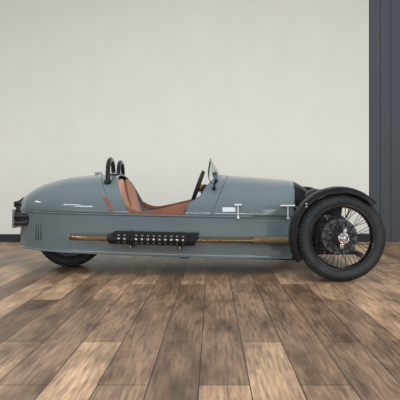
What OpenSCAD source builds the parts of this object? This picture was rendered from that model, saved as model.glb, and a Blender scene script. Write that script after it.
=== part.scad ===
// Open two-seat car on three wheels: two wire wheels in front, one wheel in the tail, V-twin on the nose.
// Millimetres. +X is forward, +Y is the car's left, +Z is up. The origin is on the ground, mid length.

/* [Stance] */
// Distance from the front axle to the rear axle
wheelbase = 2320; // [2200:10:2450]
// Distance between the middles of the two front tyres
front_track = 1500; // [1440:10:1560]
// Outer radius of the front tyres
front_tyre_r = 345; // [335:1:352]
// Section width of the front tyres
front_tyre_w = 104; // [90:1:112]
// Height of the front tyre's side above the rim
front_wall = 87; // [80:1:98]
// Spokes in each front wheel
spoke_count = 48; // [24:12:60]
// Outer radius of the rear tyre
rear_tyre_r = 312; // [300:1:320]
// Section width of the rear tyre
rear_tyre_w = 190; // [165:1:200]
// Height of the rear tyre's side above the rim
rear_wall = 98; // [90:1:110]
// Steering axis to the middle of the front tyre
kingpin_offset = 95; // [90:1:110]

/* [Body] */
// Greatest width of the body
body_w = 1040; // [980:10:1080]
// Rear axle to the tip of the tail
tail_overhang = 460; // [430:5:490]
// Front axle back to the front edge of the bonnet
bonnet_setback = 320; // [300:5:340]
// Height of the seam between tub and upper panels, at the origin
seam_h = 503; // [490:1:520]
// Fall of the seam per unit of length towards the nose
seam_fall = 0.0214; // [0.015:0.0005:0.025]
// Height of the tub's lower edge, at the origin
sill_h = 154; // [145:1:165]
// Fall of the lower edge per unit of length towards the nose
sill_fall = 0.0308; // [0.025:0.0005:0.033]
// Height of the deck above the seam
crown_h = 333; // [320:1:345]
// How much higher the scuttle is than the rear deck, above the seam
scuttle_rise = 22; // [10:1:30]
// How far the crown has come down at the bonnet's front edge
nose_fall = 36; // [30:1:50]
// Half width lost from the widest place to the bonnet's front edge
nose_taper = 100; // [80:5:110]
// Half width lost from the widest place to the tail, before it rounds off
tail_taper = 160; // [140:5:175]
// Thickness of the tub's walls
wall = 20; // [16:1:24]
// Thickness of the upper panels
skin_t = 8; // [6:1:9]
// Width of the shut lines
shut = 3; // [2.5:0.5:4]
// How far the moulding along the seam stands out
bead_out = 6; // [4:1:8]
// Height of the moulding along the seam
bead_h = 14; // [10:1:18]

/* [Cockpit] */
// Rear axle to the lid's front edge, at the seam
lid_reach = 488; // [470:2:500]
// Lid's front edge to the cockpit, at the seam
deck_len = 147; // [140:1:160]
// Length of the cockpit's opening, at the seam
cockpit_len = 440; // [420:5:460]
// Cockpit to the bonnet, at the seam
scuttle_len = 230; // [220:5:240]
// Height of the leather rail above the seam where it dips lowest
rail_h = 24; // [20:1:34]
// Height of the leather rail at its rear end
rail_rear_h = 74; // [60:1:80]
// Height of the leather rail at its front end
rail_front_h = 110; // [90:1:115]
// Thickness of the leather rail
rail_t = 26; // [22:1:30]
// Room between a seat and the tub's outer face
seat_side = 82; // [70:1:100]
// Thickness of the seat pads
seat_t = 105; // [90:1:115]
// Outer radius of the steering wheel
steer_r = 172; // [160:1:180]
// Rake of the steering wheel from upright
steer_rake = 20; // [15:1:24]
// Side offset of the driver
driver_y = 245; // [235:1:255]
// Height of the roll hoops above the deck's crown
hoop_h = 164; // [150:1:190]
// Width of a roll hoop between its legs' middles
hoop_w = 236; // [220:2:250]
// Radius of a roll hoop's tube
hoop_tube_r = 20; // [18:1:22]
// Height of an aero screen along its slope
screen_h = 215; // [190:5:230]

/* [Running gear] */
// Lock of the front wheels each way that the arms are laid out for
steer_arm = 110; // [100:1:115]
// Mean room between a front tyre and its mudguard
guard_gap = 39; // [34:1:45]
// Width of a mudguard
guard_w = 142; // [136:2:150]
// Radius of the tail pipe
pipe_r = 24; // [20:1:26]
// Radius of the wrapped header pipe
wrap_r = 30; // [28:1:32]
// Radius of the silencer
silencer_r = 46; // [42:1:48]
// Radius of the heat shield's outer face
shield_r = 60; // [58:1:64]
// Angle of each cylinder from upright
v_half = 28; // [26:1:30]
// Radius of the cylinders' fins
fin_r = 92; // [86:1:96]
// Fins on each cylinder
fin_count = 9; // [7:1:10]
// Radius of the chassis tubes
frame_r = 20; // [18:1:22]

/* [Hidden] */
$fn = 64;

paint = "#76868b";
trim_black = "#1b1c1e";
leather = "#8a4b30";
bright = "#d8dade";
tyre_black = "#222325";

// Clearances
seat_gap = 0.3;
run_gap = 8;

// Places along the car
plate_t = 3;
plate_back = 55;
length = tail_overhang + plate_back + wheelbase + front_tyre_r;
front_x = length / 2 - front_tyre_r;
rear_x = front_x - wheelbase;
tail_x = rear_x - tail_overhang;
bonnet_x = front_x - bonnet_setback;
lid_x = rear_x + lid_reach;
pit_rear_x = lid_x + deck_len;
pit_front_x = pit_rear_x + cockpit_len;
cowl_x = pit_front_x + scuttle_len;
widest_x = (pit_rear_x + pit_front_x) / 2 + 60;
round_x = rear_x + 75;
dome_x = rear_x + 425;
tub_front_x = bonnet_x - 10;
tail_split_x = tail_x + 95;
front_rim_r = front_tyre_r - front_wall;
rear_rim_r = rear_tyre_r - rear_wall;
guard_r = front_tyre_r + guard_gap;
seat_w = body_w / 2 - seat_side - 8;
hoop_top = seam_h + crown_h + hoop_h;
wheel_y = front_track / 2;
pin_y = wheel_y - kingpin_offset;

// Body surface
section_p = 0.87;
tail_p = 2.15;
function spow(a, p) = sign(a) * pow(abs(a), p);
function seam_z(x) = seam_h - seam_fall * x;
function sill_z(x) = sill_h - sill_fall * x;
function closing(x, from) = sqrt(max(0, 1 - pow(max(0, (from - x) / (from - tail_x)), tail_p)));
function half_w(x) =
  let (u = max(0, (x - widest_x) / (bonnet_x - widest_x)), v = max(0, (widest_x - x) / (widest_x - tail_x)))
  (body_w / 2 - nose_taper * u * u - tail_taper * v * v) * closing(x, round_x);
function nose_u(x) = max(0, (x - bonnet_x) / cowl_len);
function nose_close(x) = 1 - 0.26 * pow(nose_u(x), 1.9);
function pit_share(x) = min(1, max(0, (x - pit_rear_x) / (pit_front_x + 200 - pit_rear_x)));
function crown(x) = let (u = max(0, (x - cowl_x - 80) / (bonnet_x - cowl_x - 80)))
  (crown_h + scuttle_rise * pit_share(x) - nose_fall * u) * closing(x, dome_x) * nose_close(x);
cowl_len = 190;
lid_lean = 170;

// A point of the upper body at station x, t degrees round from the left seam, moved out by out
function skin(x, t) = [x, half_w(x) * nose_close(x) * spow(cos(t), section_p),
                       seam_z(x) + seat_gap + crown(x) * spow(sin(t), section_p)];
function skin_n(x, t) = let (c = cross(skin(x, t + 0.5) - skin(x, t - 0.5), skin(x + 0.5, t) - skin(x - 0.5, t)))
  c / norm(c);
function skin_out(x, t, out) = skin(x, t) + out * skin_n(x, t);
// Height share of the section at t
function rise(t) = pow(abs(sin(t)), section_p);
// Where the panels start just over the seam
low_t = 0.01;
// Edges of the panels, by height share
function lid_edge(t) = lid_x - lid_lean * pow(rise(t), 1.3);
// The lid's edge on the inner face is cut straight up and down, so that the lid lifts clear of the deck
function lid_edge_in(t) = let (x = lid_edge(t), q = min(1, abs(skin_out(x, t, -skin_t).y) / half_w(x)))
  lid_x - lid_lean * pow(pow(1 - pow(q, 2 / section_p), section_p / 2), 1.3);
function pit_rear_edge(t) = pit_rear_x - 165 * pow(rise(t), 0.85);
function pit_front_edge(t) = pit_front_x + 290 * pow(rise(t), 1.35);
function bonnet_edge(t) = cowl_x + 148 * rise(t);
function bonnet_front(t) = bonnet_x + 45 * rise(t);

// A closed shell over the body surface: at(u, v) gives [x, t], and the shell runs from out0 to out1
module shell(nu, nv, at, out0, out1, at_in = undef) {
  n = (nu + 1) * (nv + 1);
  function id(i, j, k) = k * n + i * (nv + 1) + j;
  inner = is_undef(at_in) ? at : at_in;
  points = [for (k = [0, 1]) for (i = [0:nu]) for (j = [0:nv])
    let (p = k == 0 ? at(i / nu, j / nv) : inner(i / nu, j / nv)) skin_out(p[0], p[1], k == 0 ? out1 : out0)];
  quads = concat(
    [for (i = [0:nu - 1]) for (j = [0:nv - 1]) [id(i, j, 0), id(i, j + 1, 0), id(i + 1, j + 1, 0), id(i + 1, j, 0)]],
    [for (i = [0:nu - 1]) for (j = [0:nv - 1]) [id(i, j, 1), id(i + 1, j, 1), id(i + 1, j + 1, 1), id(i, j + 1, 1)]],
    [for (i = [0:nu - 1]) [id(i, 0, 0), id(i + 1, 0, 0), id(i + 1, 0, 1), id(i, 0, 1)]],
    [for (i = [0:nu - 1]) [id(i + 1, nv, 0), id(i, nv, 0), id(i, nv, 1), id(i + 1, nv, 1)]],
    [for (j = [0:nv - 1]) [id(0, j + 1, 0), id(0, j, 0), id(0, j, 1), id(0, j + 1, 1)]],
    [for (j = [0:nv - 1]) [id(nu, j, 0), id(nu, j + 1, 0), id(nu, j + 1, 1), id(nu, j, 1)]]);
  polyhedron(points = points, faces = [for (q = quads) each [[q[0], q[1], q[2]], [q[0], q[2], q[3]]]]);
}

// Plan of the tub's left wall
function plan_n(x) = let (d = [2, half_w(x + 1) - half_w(x - 1)], n = [-d[1], d[0]]) n / norm(n);
function plan_pt(x, inset) = [x, half_w(x)] - inset * plan_n(x);
function stations(x0, x1, n) = [for (i = [0:n]) x0 + (x1 - x0) * i / n];
function tail_stations(x1, n) = [for (i = [0:n]) tail_x + (x1 - tail_x) * (1 - cos(90 * i / n))];

module mirrored() {
  children();
  mirror([0, 1, 0]) children();
}
// Round bar from p to q
module rod(p, q, r) {
  d = q - p;
  translate(p) rotate([0, acos(d.z / norm(d)), atan2(d.y, d.x)]) cylinder(h = norm(d), r = r);
}
// Round bar through points, with ball corners
module run(points, r) {
  for (i = [1:len(points) - 1]) rod(points[i - 1], points[i], r);
  if (len(points) > 2) for (i = [1:len(points) - 2]) translate(points[i]) sphere(r + 0.2);
}
// The slab between two heights that fall along the car
module slab(z0, z1) {
  far = length;
  rotate([90, 0, 0]) linear_extrude(2 * body_w, center = true)
    polygon([[-far, z0(-far)], [far, z0(far)], [far, z1(far)], [-far, z1(-far)]]);
}
// A disc or bar along Y
module along_y(y0, y1, r) translate([0, y0, 0]) rotate([-90, 0, 0]) cylinder(h = y1 - y0, r = r);

module tub_band(x0, x1, out, inset, z0, z1) {
  xs = stations(x0, x1, 20);
  intersection() {
    linear_extrude(1000) polygon(concat([for (x = xs) plan_pt(x, -out)],
      [for (i = [len(xs) - 1:-1:0]) plan_pt(xs[i], inset)]));
    slab(z0, z1);
  }
}
louvre_h = 155;
louvre_r = 8;
louvre_pitch = 26;
module tub_sides() color(paint) mirrored() {
  tub_band(tail_split_x, tub_front_x, 0, wall, function(x) sill_z(x), function(x) seam_z(x));
  tub_band(tail_split_x, tub_front_x, bead_out, wall / 2, function(x) seam_z(x) - bead_h, function(x) seam_z(x) - 0.05);
  for (i = [-1:1]) {
    x = rear_x - 184 + i * louvre_pitch;
    translate([x, half_w(x) + seat_gap, seam_z(x) - 85 - louvre_h])
      intersection() {
        union() {
          cylinder(h = louvre_h, r = louvre_r);
          translate([0, 0, louvre_h]) sphere(louvre_r);
          sphere(louvre_r);
        }
        rotate(-atan2(half_w(x - 5) - half_w(x + 5), 10)) translate([-20, -4, -20]) cube([40, 20, louvre_h + 40]);
      }
  }
}
module tub_tail() color(paint) intersection() {
  xs = tail_stations(tail_split_x, 12);
  outer = [for (x = xs) plan_pt(x, 0)];
  inner = [for (x = xs) if (x > tail_x + wall / 2) plan_pt(x, wall)];
  linear_extrude(1000) polygon(concat([for (i = [12:-1:0]) outer[i]], [for (p = outer) [p.x, -p.y]],
    [for (i = [len(inner) - 1:-1:0]) [inner[i].x, -inner[i].y]], inner));
  slab(function(x) sill_z(x), function(x) seam_z(x));
}

floor_t = 12;
rail_drop = 0.5;
function floor_z(x) = sill_z(x) + 2 + floor_t;
bulkhead_x = rear_x + rear_tyre_r + 85;
module floor_plan(x0, x1, inset) {
  xs = stations(x0, x1, 16);
  polygon(concat([for (x = xs) plan_pt(x, inset)], [for (i = [16:-1:0]) let (p = plan_pt(xs[i], inset)) [p.x, -p.y]]));
}
module floor() color(trim_black) intersection() {
  linear_extrude(1000) floor_plan(bulkhead_x, tub_front_x - 12, wall + seat_gap);
  slab(function(x) sill_z(x) - rail_drop + seat_gap, function(x) floor_z(x));
}
crank_z = sill_h + 0.4756 * (seam_h - sill_h);
bell_r = 0.315 * (seam_h - sill_h);
module nose_bulkhead() color(trim_black) {
  x = tub_front_x - 12 + seat_gap;
  w = half_w(x + 10) - wall - 0.5;
  difference() {
    translate([x, -w, sill_z(x) + 2]) cube([10, 2 * w, seam_z(x) - sill_z(x) - 4]);
    translate([x - 1, 0, crank_z]) rotate([0, 90, 0]) cylinder(h = 12, r = bell_r + run_gap);
  }
}

arch_gap = 36;
arch_t = 6;
arch_half = rear_tyre_w / 2 + 45;
tray_drop = 40;
function tray_z(x) = seam_z(x) - tray_drop;
module boot_tray() color(trim_black) {
  arch_r = rear_tyre_r + arch_gap;
  difference() {
    union() {
      intersection() {
        xs = tail_stations(bulkhead_x, 18);
        pts = [for (x = xs) if (x > tail_x + 2 * wall) plan_pt(x, wall + 7)];
        linear_extrude(1000) polygon(concat(pts, [for (i = [len(pts) - 1:-1:0]) [pts[i].x, -pts[i].y]]));
        slab(function(x) tray_z(x) - 10, function(x) tray_z(x));
      }
      intersection() {
        translate([rear_x, 0, rear_tyre_r]) along_y(-arch_half - arch_t, arch_half + arch_t, arch_r + arch_t);
        slab(function(x) tray_z(x) - 10, function(x) 2000);
      }
    }
    translate([rear_x, 0, rear_tyre_r]) along_y(-arch_half, arch_half, arch_r);
  }
  w = half_w(bulkhead_x - 12) - wall - 1;
  z0 = sill_z(bulkhead_x) + 2;
  translate([bulkhead_x - 12, -w, z0]) cube([12 - seat_gap, 2 * w, tray_z(bulkhead_x) - 10.5 - z0]);
}

module boot_lid() color(paint) {
  t0 = 0.3;
  shell(22, 30, function(u, v) let (t = t0 + (180 - 2 * t0) * v) [lid_x_at(lid_edge(t) - shut, u), t], -skin_t, 0,
    function(u, v) let (t = t0 + (180 - 2 * t0) * v) [lid_x_at(lid_edge_in(t) - shut - lid_draft, u), t]);
  for (y = [-1, 1]) hinge_leaf(y);
}
lid_draft = 16;
function lid_x_at(edge, u) = edge - (edge - tail_x - 4) * sin(90 * u);
hinge_back = 32;
hinge_up = 40;
hinge_r = 14;
hinge_x = tail_x - hinge_back;
hinge_z = seam_z(tail_x) + hinge_up;
leaf_y = 78;
leaf_w = 24;
module hinge_leaf(side) difference() {
  x = tail_x + 34;
  z = seam_z(x) + crown(x) * 0.93;
  translate([0, side * leaf_y, 0]) rotate([90, 0, 0]) linear_extrude(leaf_w, center = true) difference() {
    union() {
      translate([hinge_x, hinge_z]) circle(hinge_r);
      polygon([[hinge_x - 3, hinge_z + hinge_r - 1], [x + 14, z + 20], [x + 20, z + 14], [hinge_x + hinge_r - 1, hinge_z + 2]]);
    }
    translate([hinge_x, hinge_z]) circle(hinge_pin_r + 0.05);
  }
}
hinge_pin_r = 6;
module lid_straps() color(leather) mirrored() {
  shell(6, 8, function(u, v) let (t = 6 + 15 * v) [lid_edge(t) - 38 + 34 * u + 20 * (1 - v), t], 0.5, 4.5);
}
function t_at(v) = low_t + (180 - 2 * low_t) * v;
module rear_deck() color(paint) {
  shell(8, 32, function(u, v) let (t = t_at(v), a = lid_edge(t)) [a + (pit_rear_edge(t) - a) * u, t], -skin_t, 0,
    function(u, v) let (t = t_at(v), a = lid_edge_in(t)) [a + (pit_rear_edge(t) - a) * u, t]);
}
module scuttle() color(paint) shell(10, 32, function(u, v) let (t = low_t + (180 - 2 * low_t) * v, a = pit_front_edge(t), b = bonnet_edge(t))
  [a + (b - a) * u, t], -skin_t, 0);
module bonnet() color(paint) {
  shell(16, 32, function(u, v) let (t = low_t + (180 - 2 * low_t) * v, a = bonnet_edge(t) + shut, b = bonnet_front(t))
    [a + (b - a) * u, t], -skin_t, 0);
  mirrored() shell(12, 5, function(u, v) let (t = 1 + blister_t * v * min(1, pow(u * 2.6, 1.2)))
    [bonnet_x - blister_len * (1 - u) + 4 * v, t], seat_gap, blister_out);
}
blister_len = 350;
blister_t = 13;
blister_out = 14;
module nose_cowl() color(trim_black) {
  shell(10, 32, function(u, v) let (t = low_t + (180 - 2 * low_t) * v, a = bonnet_front(t) + 0.5)
    [a + (bonnet_x + cowl_len - a) * u, t], -skin_t, 0);
}
// Height of the leather rail, from its rear end to its front end: it dips, then rises to the scuttle
rail_dip = 0.27;
function rail_top(u) = u < rail_dip ? rail_h + (rail_rear_h - rail_h) * pow(1 - u / rail_dip, 2.2)
  : rail_h + (rail_front_h - rail_h) * pow((u - rail_dip) / (1 - rail_dip), 1.4);
module cockpit_rails() color(leather) mirrored()
  shell(24, 6, function(u, v) let (top = asin(pow(rail_top(u) / crown_h, 1 / section_p)), t = low_t + (top - low_t) * v)
    [pit_rear_edge(t) + shut + (pit_front_edge(t) - pit_rear_edge(t) - 2 * shut) * u, t], -rail_t, 1.5);

// Seats: the base pad tips up in front, the back pad leans
seat_z = sill_h + 110;
module seat_pads(points) mirrored() translate([0, seat_w / 2 + 8, 0]) rotate([90, 0, 0])
  linear_extrude(seat_w, center = true) polygon(points);
back_foot = [pit_rear_x + 20, seat_z + 4];
back_top = [pit_rear_x - 128, seat_z + 536];
module seat_bases() color(leather) seat_pads([[pit_rear_x + 24, seat_z], [pit_front_x - 20, seat_z + 45],
  [pit_front_x - 26, floor_z(pit_front_x - 26) + seat_gap], [pit_rear_x + 24, floor_z(pit_rear_x + 24) + seat_gap]]);
module seat_backs() color(leather) intersection() {
  seat_pads([back_foot, back_top, back_top + [-45, -8], [pit_rear_x - 70, seat_z - 60],
    [pit_rear_x - 60, floor_z(pit_rear_x - 60) + seat_gap], [pit_rear_x + 20, floor_z(pit_rear_x + 20) + seat_gap]]);
  rotate([90, 0, 90]) linear_extrude(2000, center = true) polygon(concat([[-450, 100], [450, 100]],
    [for (i = [0:16]) let (p = skin_out(pit_rear_x - 165, 6 + 168 * i / 16, -skin_t - 10)) [p.y, p.z]]));
}

dash_x = pit_front_x + 300;
dash_t = 14;
module dashboard() {
  bottom = 26;
  color(trim_black) difference() {
    translate([dash_x, 0, 0]) rotate([90, 0, 90]) linear_extrude(dash_t)
    polygon([for (i = [0:24]) let (p = skin_out(dash_x + dash_t, bottom + (180 - 2 * bottom) * i / 24, -skin_t - 0.9)) [p.y, p.z]]);
    at_wheel() cylinder(h = 400, r = column_r + seat_gap);
  }
  for (y = [-70, 70]) color(bright) translate([dash_x - 14, y, seam_z(dash_x) + 235]) rotate([0, 90, 0]) cylinder(h = 13.7, r = 48);
}
tunnel_h = 150;
module tunnel() color(trim_black) {
  z0 = sill_z(0) + 70;
  intersection() {
    translate([pit_rear_x + 40, -6, 0]) cube([tub_front_x - 300 - pit_rear_x, 12, 600]);
    slab(function(x) sill_z(x) + floor_t + 2.3, function(x) sill_z(x) + floor_t + tunnel_h);
  }
  x = pit_front_x + 60;
  z = sill_z(x) + floor_t + tunnel_h + seat_gap;
  translate([x, 0, z]) cylinder(h = 30, r1 = 26, r2 = 12);
  rod([x, 0, z + 29], [x - 20, 0, z + 150], 6);
  translate([x - 20, 0, z + 160]) sphere(20);
}

// Steering wheel: frame at the wheel's middle, its axis running down and forward
wheel_c = [pit_front_x + 98, driver_y, seam_h + 232];
module at_wheel() translate(wheel_c) rotate([0, 90 + steer_rake, 0]) children();
rim_r = 17;
column_r = 16;
spoke_w = 24;
module steering_wheel() color(trim_black) at_wheel() {
  rotate_extrude() translate([steer_r - rim_r, 0]) circle(rim_r);
  translate([0, 0, -6]) cylinder(h = 46, r = 38);
  translate([0, 0, -14]) cylinder(h = 10, r1 = 22, r2 = 30);
  for (a = [0, 120, 240]) rotate(a + 60) difference() {
    translate([0, -spoke_w / 2, 4]) cube([steer_r - rim_r, spoke_w, 5]);
    for (k = [0:2]) translate([58 + k * 30, 0, 0]) cylinder(h = 20, r = 8 - k);
  }
}
module steering_column() color(trim_black) at_wheel() {
  translate([0, 0, 40 + seat_gap]) cylinder(h = 62, r = 30);
  translate([-50, -34, 46]) cube([100, 68, 54]);
  translate([0, 0, 100]) cylinder(h = 330, r = column_r);
}

hoop_y = driver_y - 12;
hoop_x = pit_rear_x - 220;
module roll_hoops() color(trim_black) mirrored() {
  r = hoop_w / 2;
  zc = hoop_top - hoop_tube_r - r;
  difference() {
    union() {
      translate([hoop_x, hoop_y, zc]) rotate([90, 0, 90]) rotate_extrude(angle = 180) translate([r, 0]) circle(hoop_tube_r);
      translate([hoop_x, hoop_y + r, foot_z(hoop_y + r) - 40]) cylinder(h = zc - foot_z(hoop_y + r) + 40, r = hoop_tube_r);
    }
    for (y = [hoop_y - r, hoop_y + r]) at_foot(y) translate([-60, -60, -100]) cube([120, 120, 101]);
  }
  for (y = [hoop_y - r, hoop_y + r]) at_foot(y) cylinder(h = 12, r = hoop_tube_r + 14);
}
module at_foot(y) {
  n = skin_n(hoop_x, foot_t(y));
  translate([hoop_x, y, foot_z(y)]) rotate([0, acos(n.z), atan2(n.y, n.x)]) children();
}
// Place round the section and height of the deck's outer face at a hoop's foot
function foot_t(y) = acos(pow(abs(y) / half_w(hoop_x), 1 / section_p));
function foot_z(y) = skin(hoop_x, foot_t(y)).z + 0.5;

cap_x = lid_x - 232;
cap_r = 40;
module fuel_cap() color(bright) {
  n = skin_n(cap_x, 90);
  translate(skin_out(cap_x, 90, seat_gap)) rotate([0, atan2(n.x, n.z), 0]) {
    cylinder(h = 8, r = cap_r);
    translate([0, 0, 7]) cylinder(h = 12, r1 = cap_r - 4, r2 = cap_r - 12);
    translate([-cap_r, -6, 18]) cube([2 * cap_r - 8, 12, 6]);
  }
}

// Aero screens: part of a leaning tube, trimmed to stand just over the scuttle
screen_r = 190;
screen_lean = 30;
screen_x = cowl_x + 105;
module aero_screens() mirrored() {
  color("#c8d4d6", 0.4) intersection() {
    translate([screen_x, driver_y, seam_h + crown_h + scuttle_rise - 60]) rotate([0, -screen_lean, 0]) translate([-screen_r, 0, -40])
      intersection() {
        difference() {
          cylinder(h = screen_h + 100, r = screen_r);
          translate([0, 0, -1]) cylinder(h = screen_h + 110, r = screen_r - 5);
        }
        rotate([90, 0, 90]) translate([0, 40, 0]) linear_extrude(screen_r + 10) union() {
          scale([1, 1]) translate([0, 50]) circle(screen_h * 0.78);
        }
      }
    rotate([90, 0, 90]) linear_extrude(2000, center = true)
      polygon(concat([for (i = [0:16]) let (p = skin_out(screen_x - 85, 8 + 76 * i / 16, 0.6)) [p.y, p.z]], [[20, 1200], [600, 1200]]));
  }
  color(bright) for (y = [driver_y - 105, driver_y + 105]) {
    t = acos(pow(y / half_w(screen_x), 1 / section_p));
    p = skin_out(screen_x - 62, t, 0.4);
    rod(p, p + 42 * skin_n(screen_x - 62, t), 6);
  }
}

mirror_x = pit_front_x + 255;
mirror_up = 76;
module mirrors() color(trim_black) mirrored() {
  t = 35.5;
  p = skin_out(mirror_x, t, seat_gap);
  n = skin_n(mirror_x, t);
  rod(p, p + mirror_up * n, 7);
  rod(p, p + 4 * n, 18);
  translate(p + mirror_up * n + [0, 0, 40]) rotate([0, 80, 0]) {
    cylinder(h = 26, r1 = 54, r2 = 34);
    translate([0, 0, -8]) cylinder(h = 8, r = 54);
  }
}

// Engine
engine_x = front_x + 85;
case_r = 150;
case_len = 250;
cyl_base = 125;
fin_pitch = 17;
fin_t = 6;
barrel_h = fin_count * fin_pitch;
head_h = 78;
module crankcase() color("#2a2b2d") {
  translate([engine_x - case_len / 2, 0, crank_z]) rotate([0, 90, 0]) {
    cylinder(h = case_len, r = case_r);
    translate([0, 0, case_len]) cylinder(h = 26, r = 118);
    translate([0, 0, case_len + 26]) cylinder(h = 12, r1 = 80, r2 = 66);
    for (a = [15:30:345]) rotate(a) translate([104, 0, case_len]) cylinder(h = 32, r = 7);
    for (z = [18, 38, case_len - 46, case_len - 26]) translate([0, 0, z]) cylinder(h = 8, r = case_r + 5);
  }
  translate([engine_x - case_len / 2 + 20, -95, crank_z - case_r - 25]) cube([case_len - 40, 190, 80]);
  translate([tub_front_x - 260, 0, crank_z]) rotate([0, 90, 0]) cylinder(h = engine_x - case_len / 2 - tub_front_x + 261, r = bell_r);
}
module on_cylinder(side) translate([engine_x, 0, crank_z]) rotate([-side * v_half, 0, 0]) children();
module cylinders() color("#26272a") for (side = [-1, 1]) on_cylinder(side) {
  translate([0, 0, case_r + 1.2]) {
    cylinder(h = barrel_h, r = 62);
    for (i = [0:fin_count - 1]) translate([0, 0, 10 + i * fin_pitch]) cylinder(h = fin_t, r = fin_r);
    translate([0, 0, barrel_h]) {
      cylinder(h = head_h, r = 70);
      for (i = [0:2]) translate([-fin_r, -fin_r, 6 + i * 22]) cube([2 * fin_r, 2 * fin_r, fin_t]);
      translate([-78, -62, head_h - 4]) cube([156, 124, 34]);
      translate([-58, -44, head_h + 29]) cube([116, 88, 12]);
    }
    for (x = [-34, 34]) rod([x, side * -74, -4], [x, side * -66, barrel_h + head_h], 9);
  }
}
module intake() color(trim_black) translate([engine_x - 12, 0, crank_z + 308]) {
  rotate([0, 90, 0]) cylinder(h = 110, r = 52);
  translate([110, 0, 0]) rotate([0, 90, 0]) cylinder(h = 14, r1 = 52, r2 = 38);
}

// Exhaust: from the head, out and down, then back along the tub
pipe_y = body_w / 2 + shield_r + 4;
function pipe_z(x) = 308 - 0.0246 * x;
port_z = crank_z + 300;
function bez(p, s) = let (a = 1 - s) a * a * a * p[0] + 3 * a * a * s * p[1] + 3 * a * s * s * p[2] + s * s * s * p[3];
header_end = [front_x - 385, half_w(front_x - 385) + wrap_r + 10, pipe_z(front_x - 385)];
header_knots = [[engine_x - fin_r - 30, 226, port_z], [engine_x - fin_r - 120, 345, port_z + 6],
  [front_x - 215, header_end.y + 36, header_end.z + 16], header_end];
header = [for (i = [0:7]) bez(header_knots, i / 7)];
mid_x = pit_front_x + 150;
tail_pipe_x = rear_x + 150;
silencer_x0 = pit_rear_x - 170;
module exhausts() color("#8f7a4c") mirrored() {
  mid = [mid_x, pipe_y, pipe_z(mid_x)];
  wrap_end = header_end + (mid - header_end) * 0.42;
  far_end = [silencer_x0 + 640, pipe_y, pipe_z(silencer_x0 + 640)];
  rod([engine_x - fin_r - 0.4, 222, port_z], [engine_x - fin_r - 42, 222, port_z], wrap_r + 6);
  for (i = [1:len(header) - 1]) rod(header[i - 1], header[i], wrap_r);
  for (i = [1:len(header) - 1]) translate(header[i]) sphere(wrap_r + 2);
  rod(header_end, wrap_end, wrap_r);
  rod(wrap_end + (header_end - wrap_end) * 0.05, mid, pipe_r);
  translate(mid) sphere(pipe_r + 1.5);
  rod(mid, far_end, pipe_r);
  difference() {
    union() {
      rod([silencer_x0 + 700, pipe_y, pipe_z(silencer_x0 + 700)], [silencer_x0, pipe_y, pipe_z(silencer_x0)], silencer_r);
      rod([silencer_x0 + 40, pipe_y, pipe_z(silencer_x0 + 40)], [tail_pipe_x, pipe_y, pipe_z(tail_pipe_x)], pipe_r);
    }
    rod([tail_pipe_x + 140, pipe_y, pipe_z(tail_pipe_x + 140)], [tail_pipe_x - 5, pipe_y, pipe_z(tail_pipe_x - 5)], pipe_r - 3);
  }
  // Two collars carry the heat shield, and a bobbin under each reaches the tub
  for (x = hanger_x) {
    rod([x - 9, pipe_y, pipe_z(x - 9)], [x + 9, pipe_y, pipe_z(x + 9)], shield_r - shield_t - seat_gap);
    translate([x - 5, pipe_y - 14, pipe_z(x) - bobbin_drop]) cube([10, 28, bobbin_drop - silencer_r + 12]);
    translate([x, 0, pipe_z(x) - bobbin_drop]) along_y(half_w(x) + 0.6, pipe_y + 20, bobbin_r);
  }
}
hanger_x = [silencer_x0 + 190, silencer_x0 + 590];
bobbin_drop = 64;
bobbin_r = 15;
shield_len = 744;
shield_t = 4;
shield_low = 44;
hole_start = 90;
hole_r = 11;
hole_pitch = 47;
hole_count = 1 + floor((shield_len - 2 * hole_start) / hole_pitch);
module heat_shields() color(trim_black) mirrored() {
  x0 = silencer_x0 + 8;
  translate([x0, pipe_y, pipe_z(x0)]) rotate([0, 90 + atan(0.0246), 0]) difference() {
    intersection() {
      difference() {
        cylinder(h = shield_len, r = shield_r);
        translate([0, 0, -1]) cylinder(h = shield_len + 2, r = shield_r - shield_t);
      }
      translate([-100, -20, -1]) cube([200, 100, shield_len + 2]);
      rotate([90, 0, 0]) linear_extrude(200, center = true) polygon([[shield_low, 8], [shield_low, shield_len - 44], [-70, shield_len], [-70, 52]]);
    }
    for (i = [1:hole_count]) for (a = [55, 90, 125]) rotate(a) translate([0, 0, hole_start + (i - 1) * hole_pitch])
      rotate([0, 90, 0]) cylinder(h = 100, r = hole_r);
  }
  for (x = hanger_x) translate([x, pipe_y, pipe_z(x)]) rotate([0, 90 + atan(0.0246), 0])
    intersection() {
      difference() {
        translate([0, 0, -9]) cylinder(h = 18, r = shield_r + 4.5);
        translate([0, 0, -10]) cylinder(h = 20, r = shield_r + 0.3);
      }
      translate([-100, -18, -30]) cube([100 + shield_low, 120, 60]);
    }
}

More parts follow.
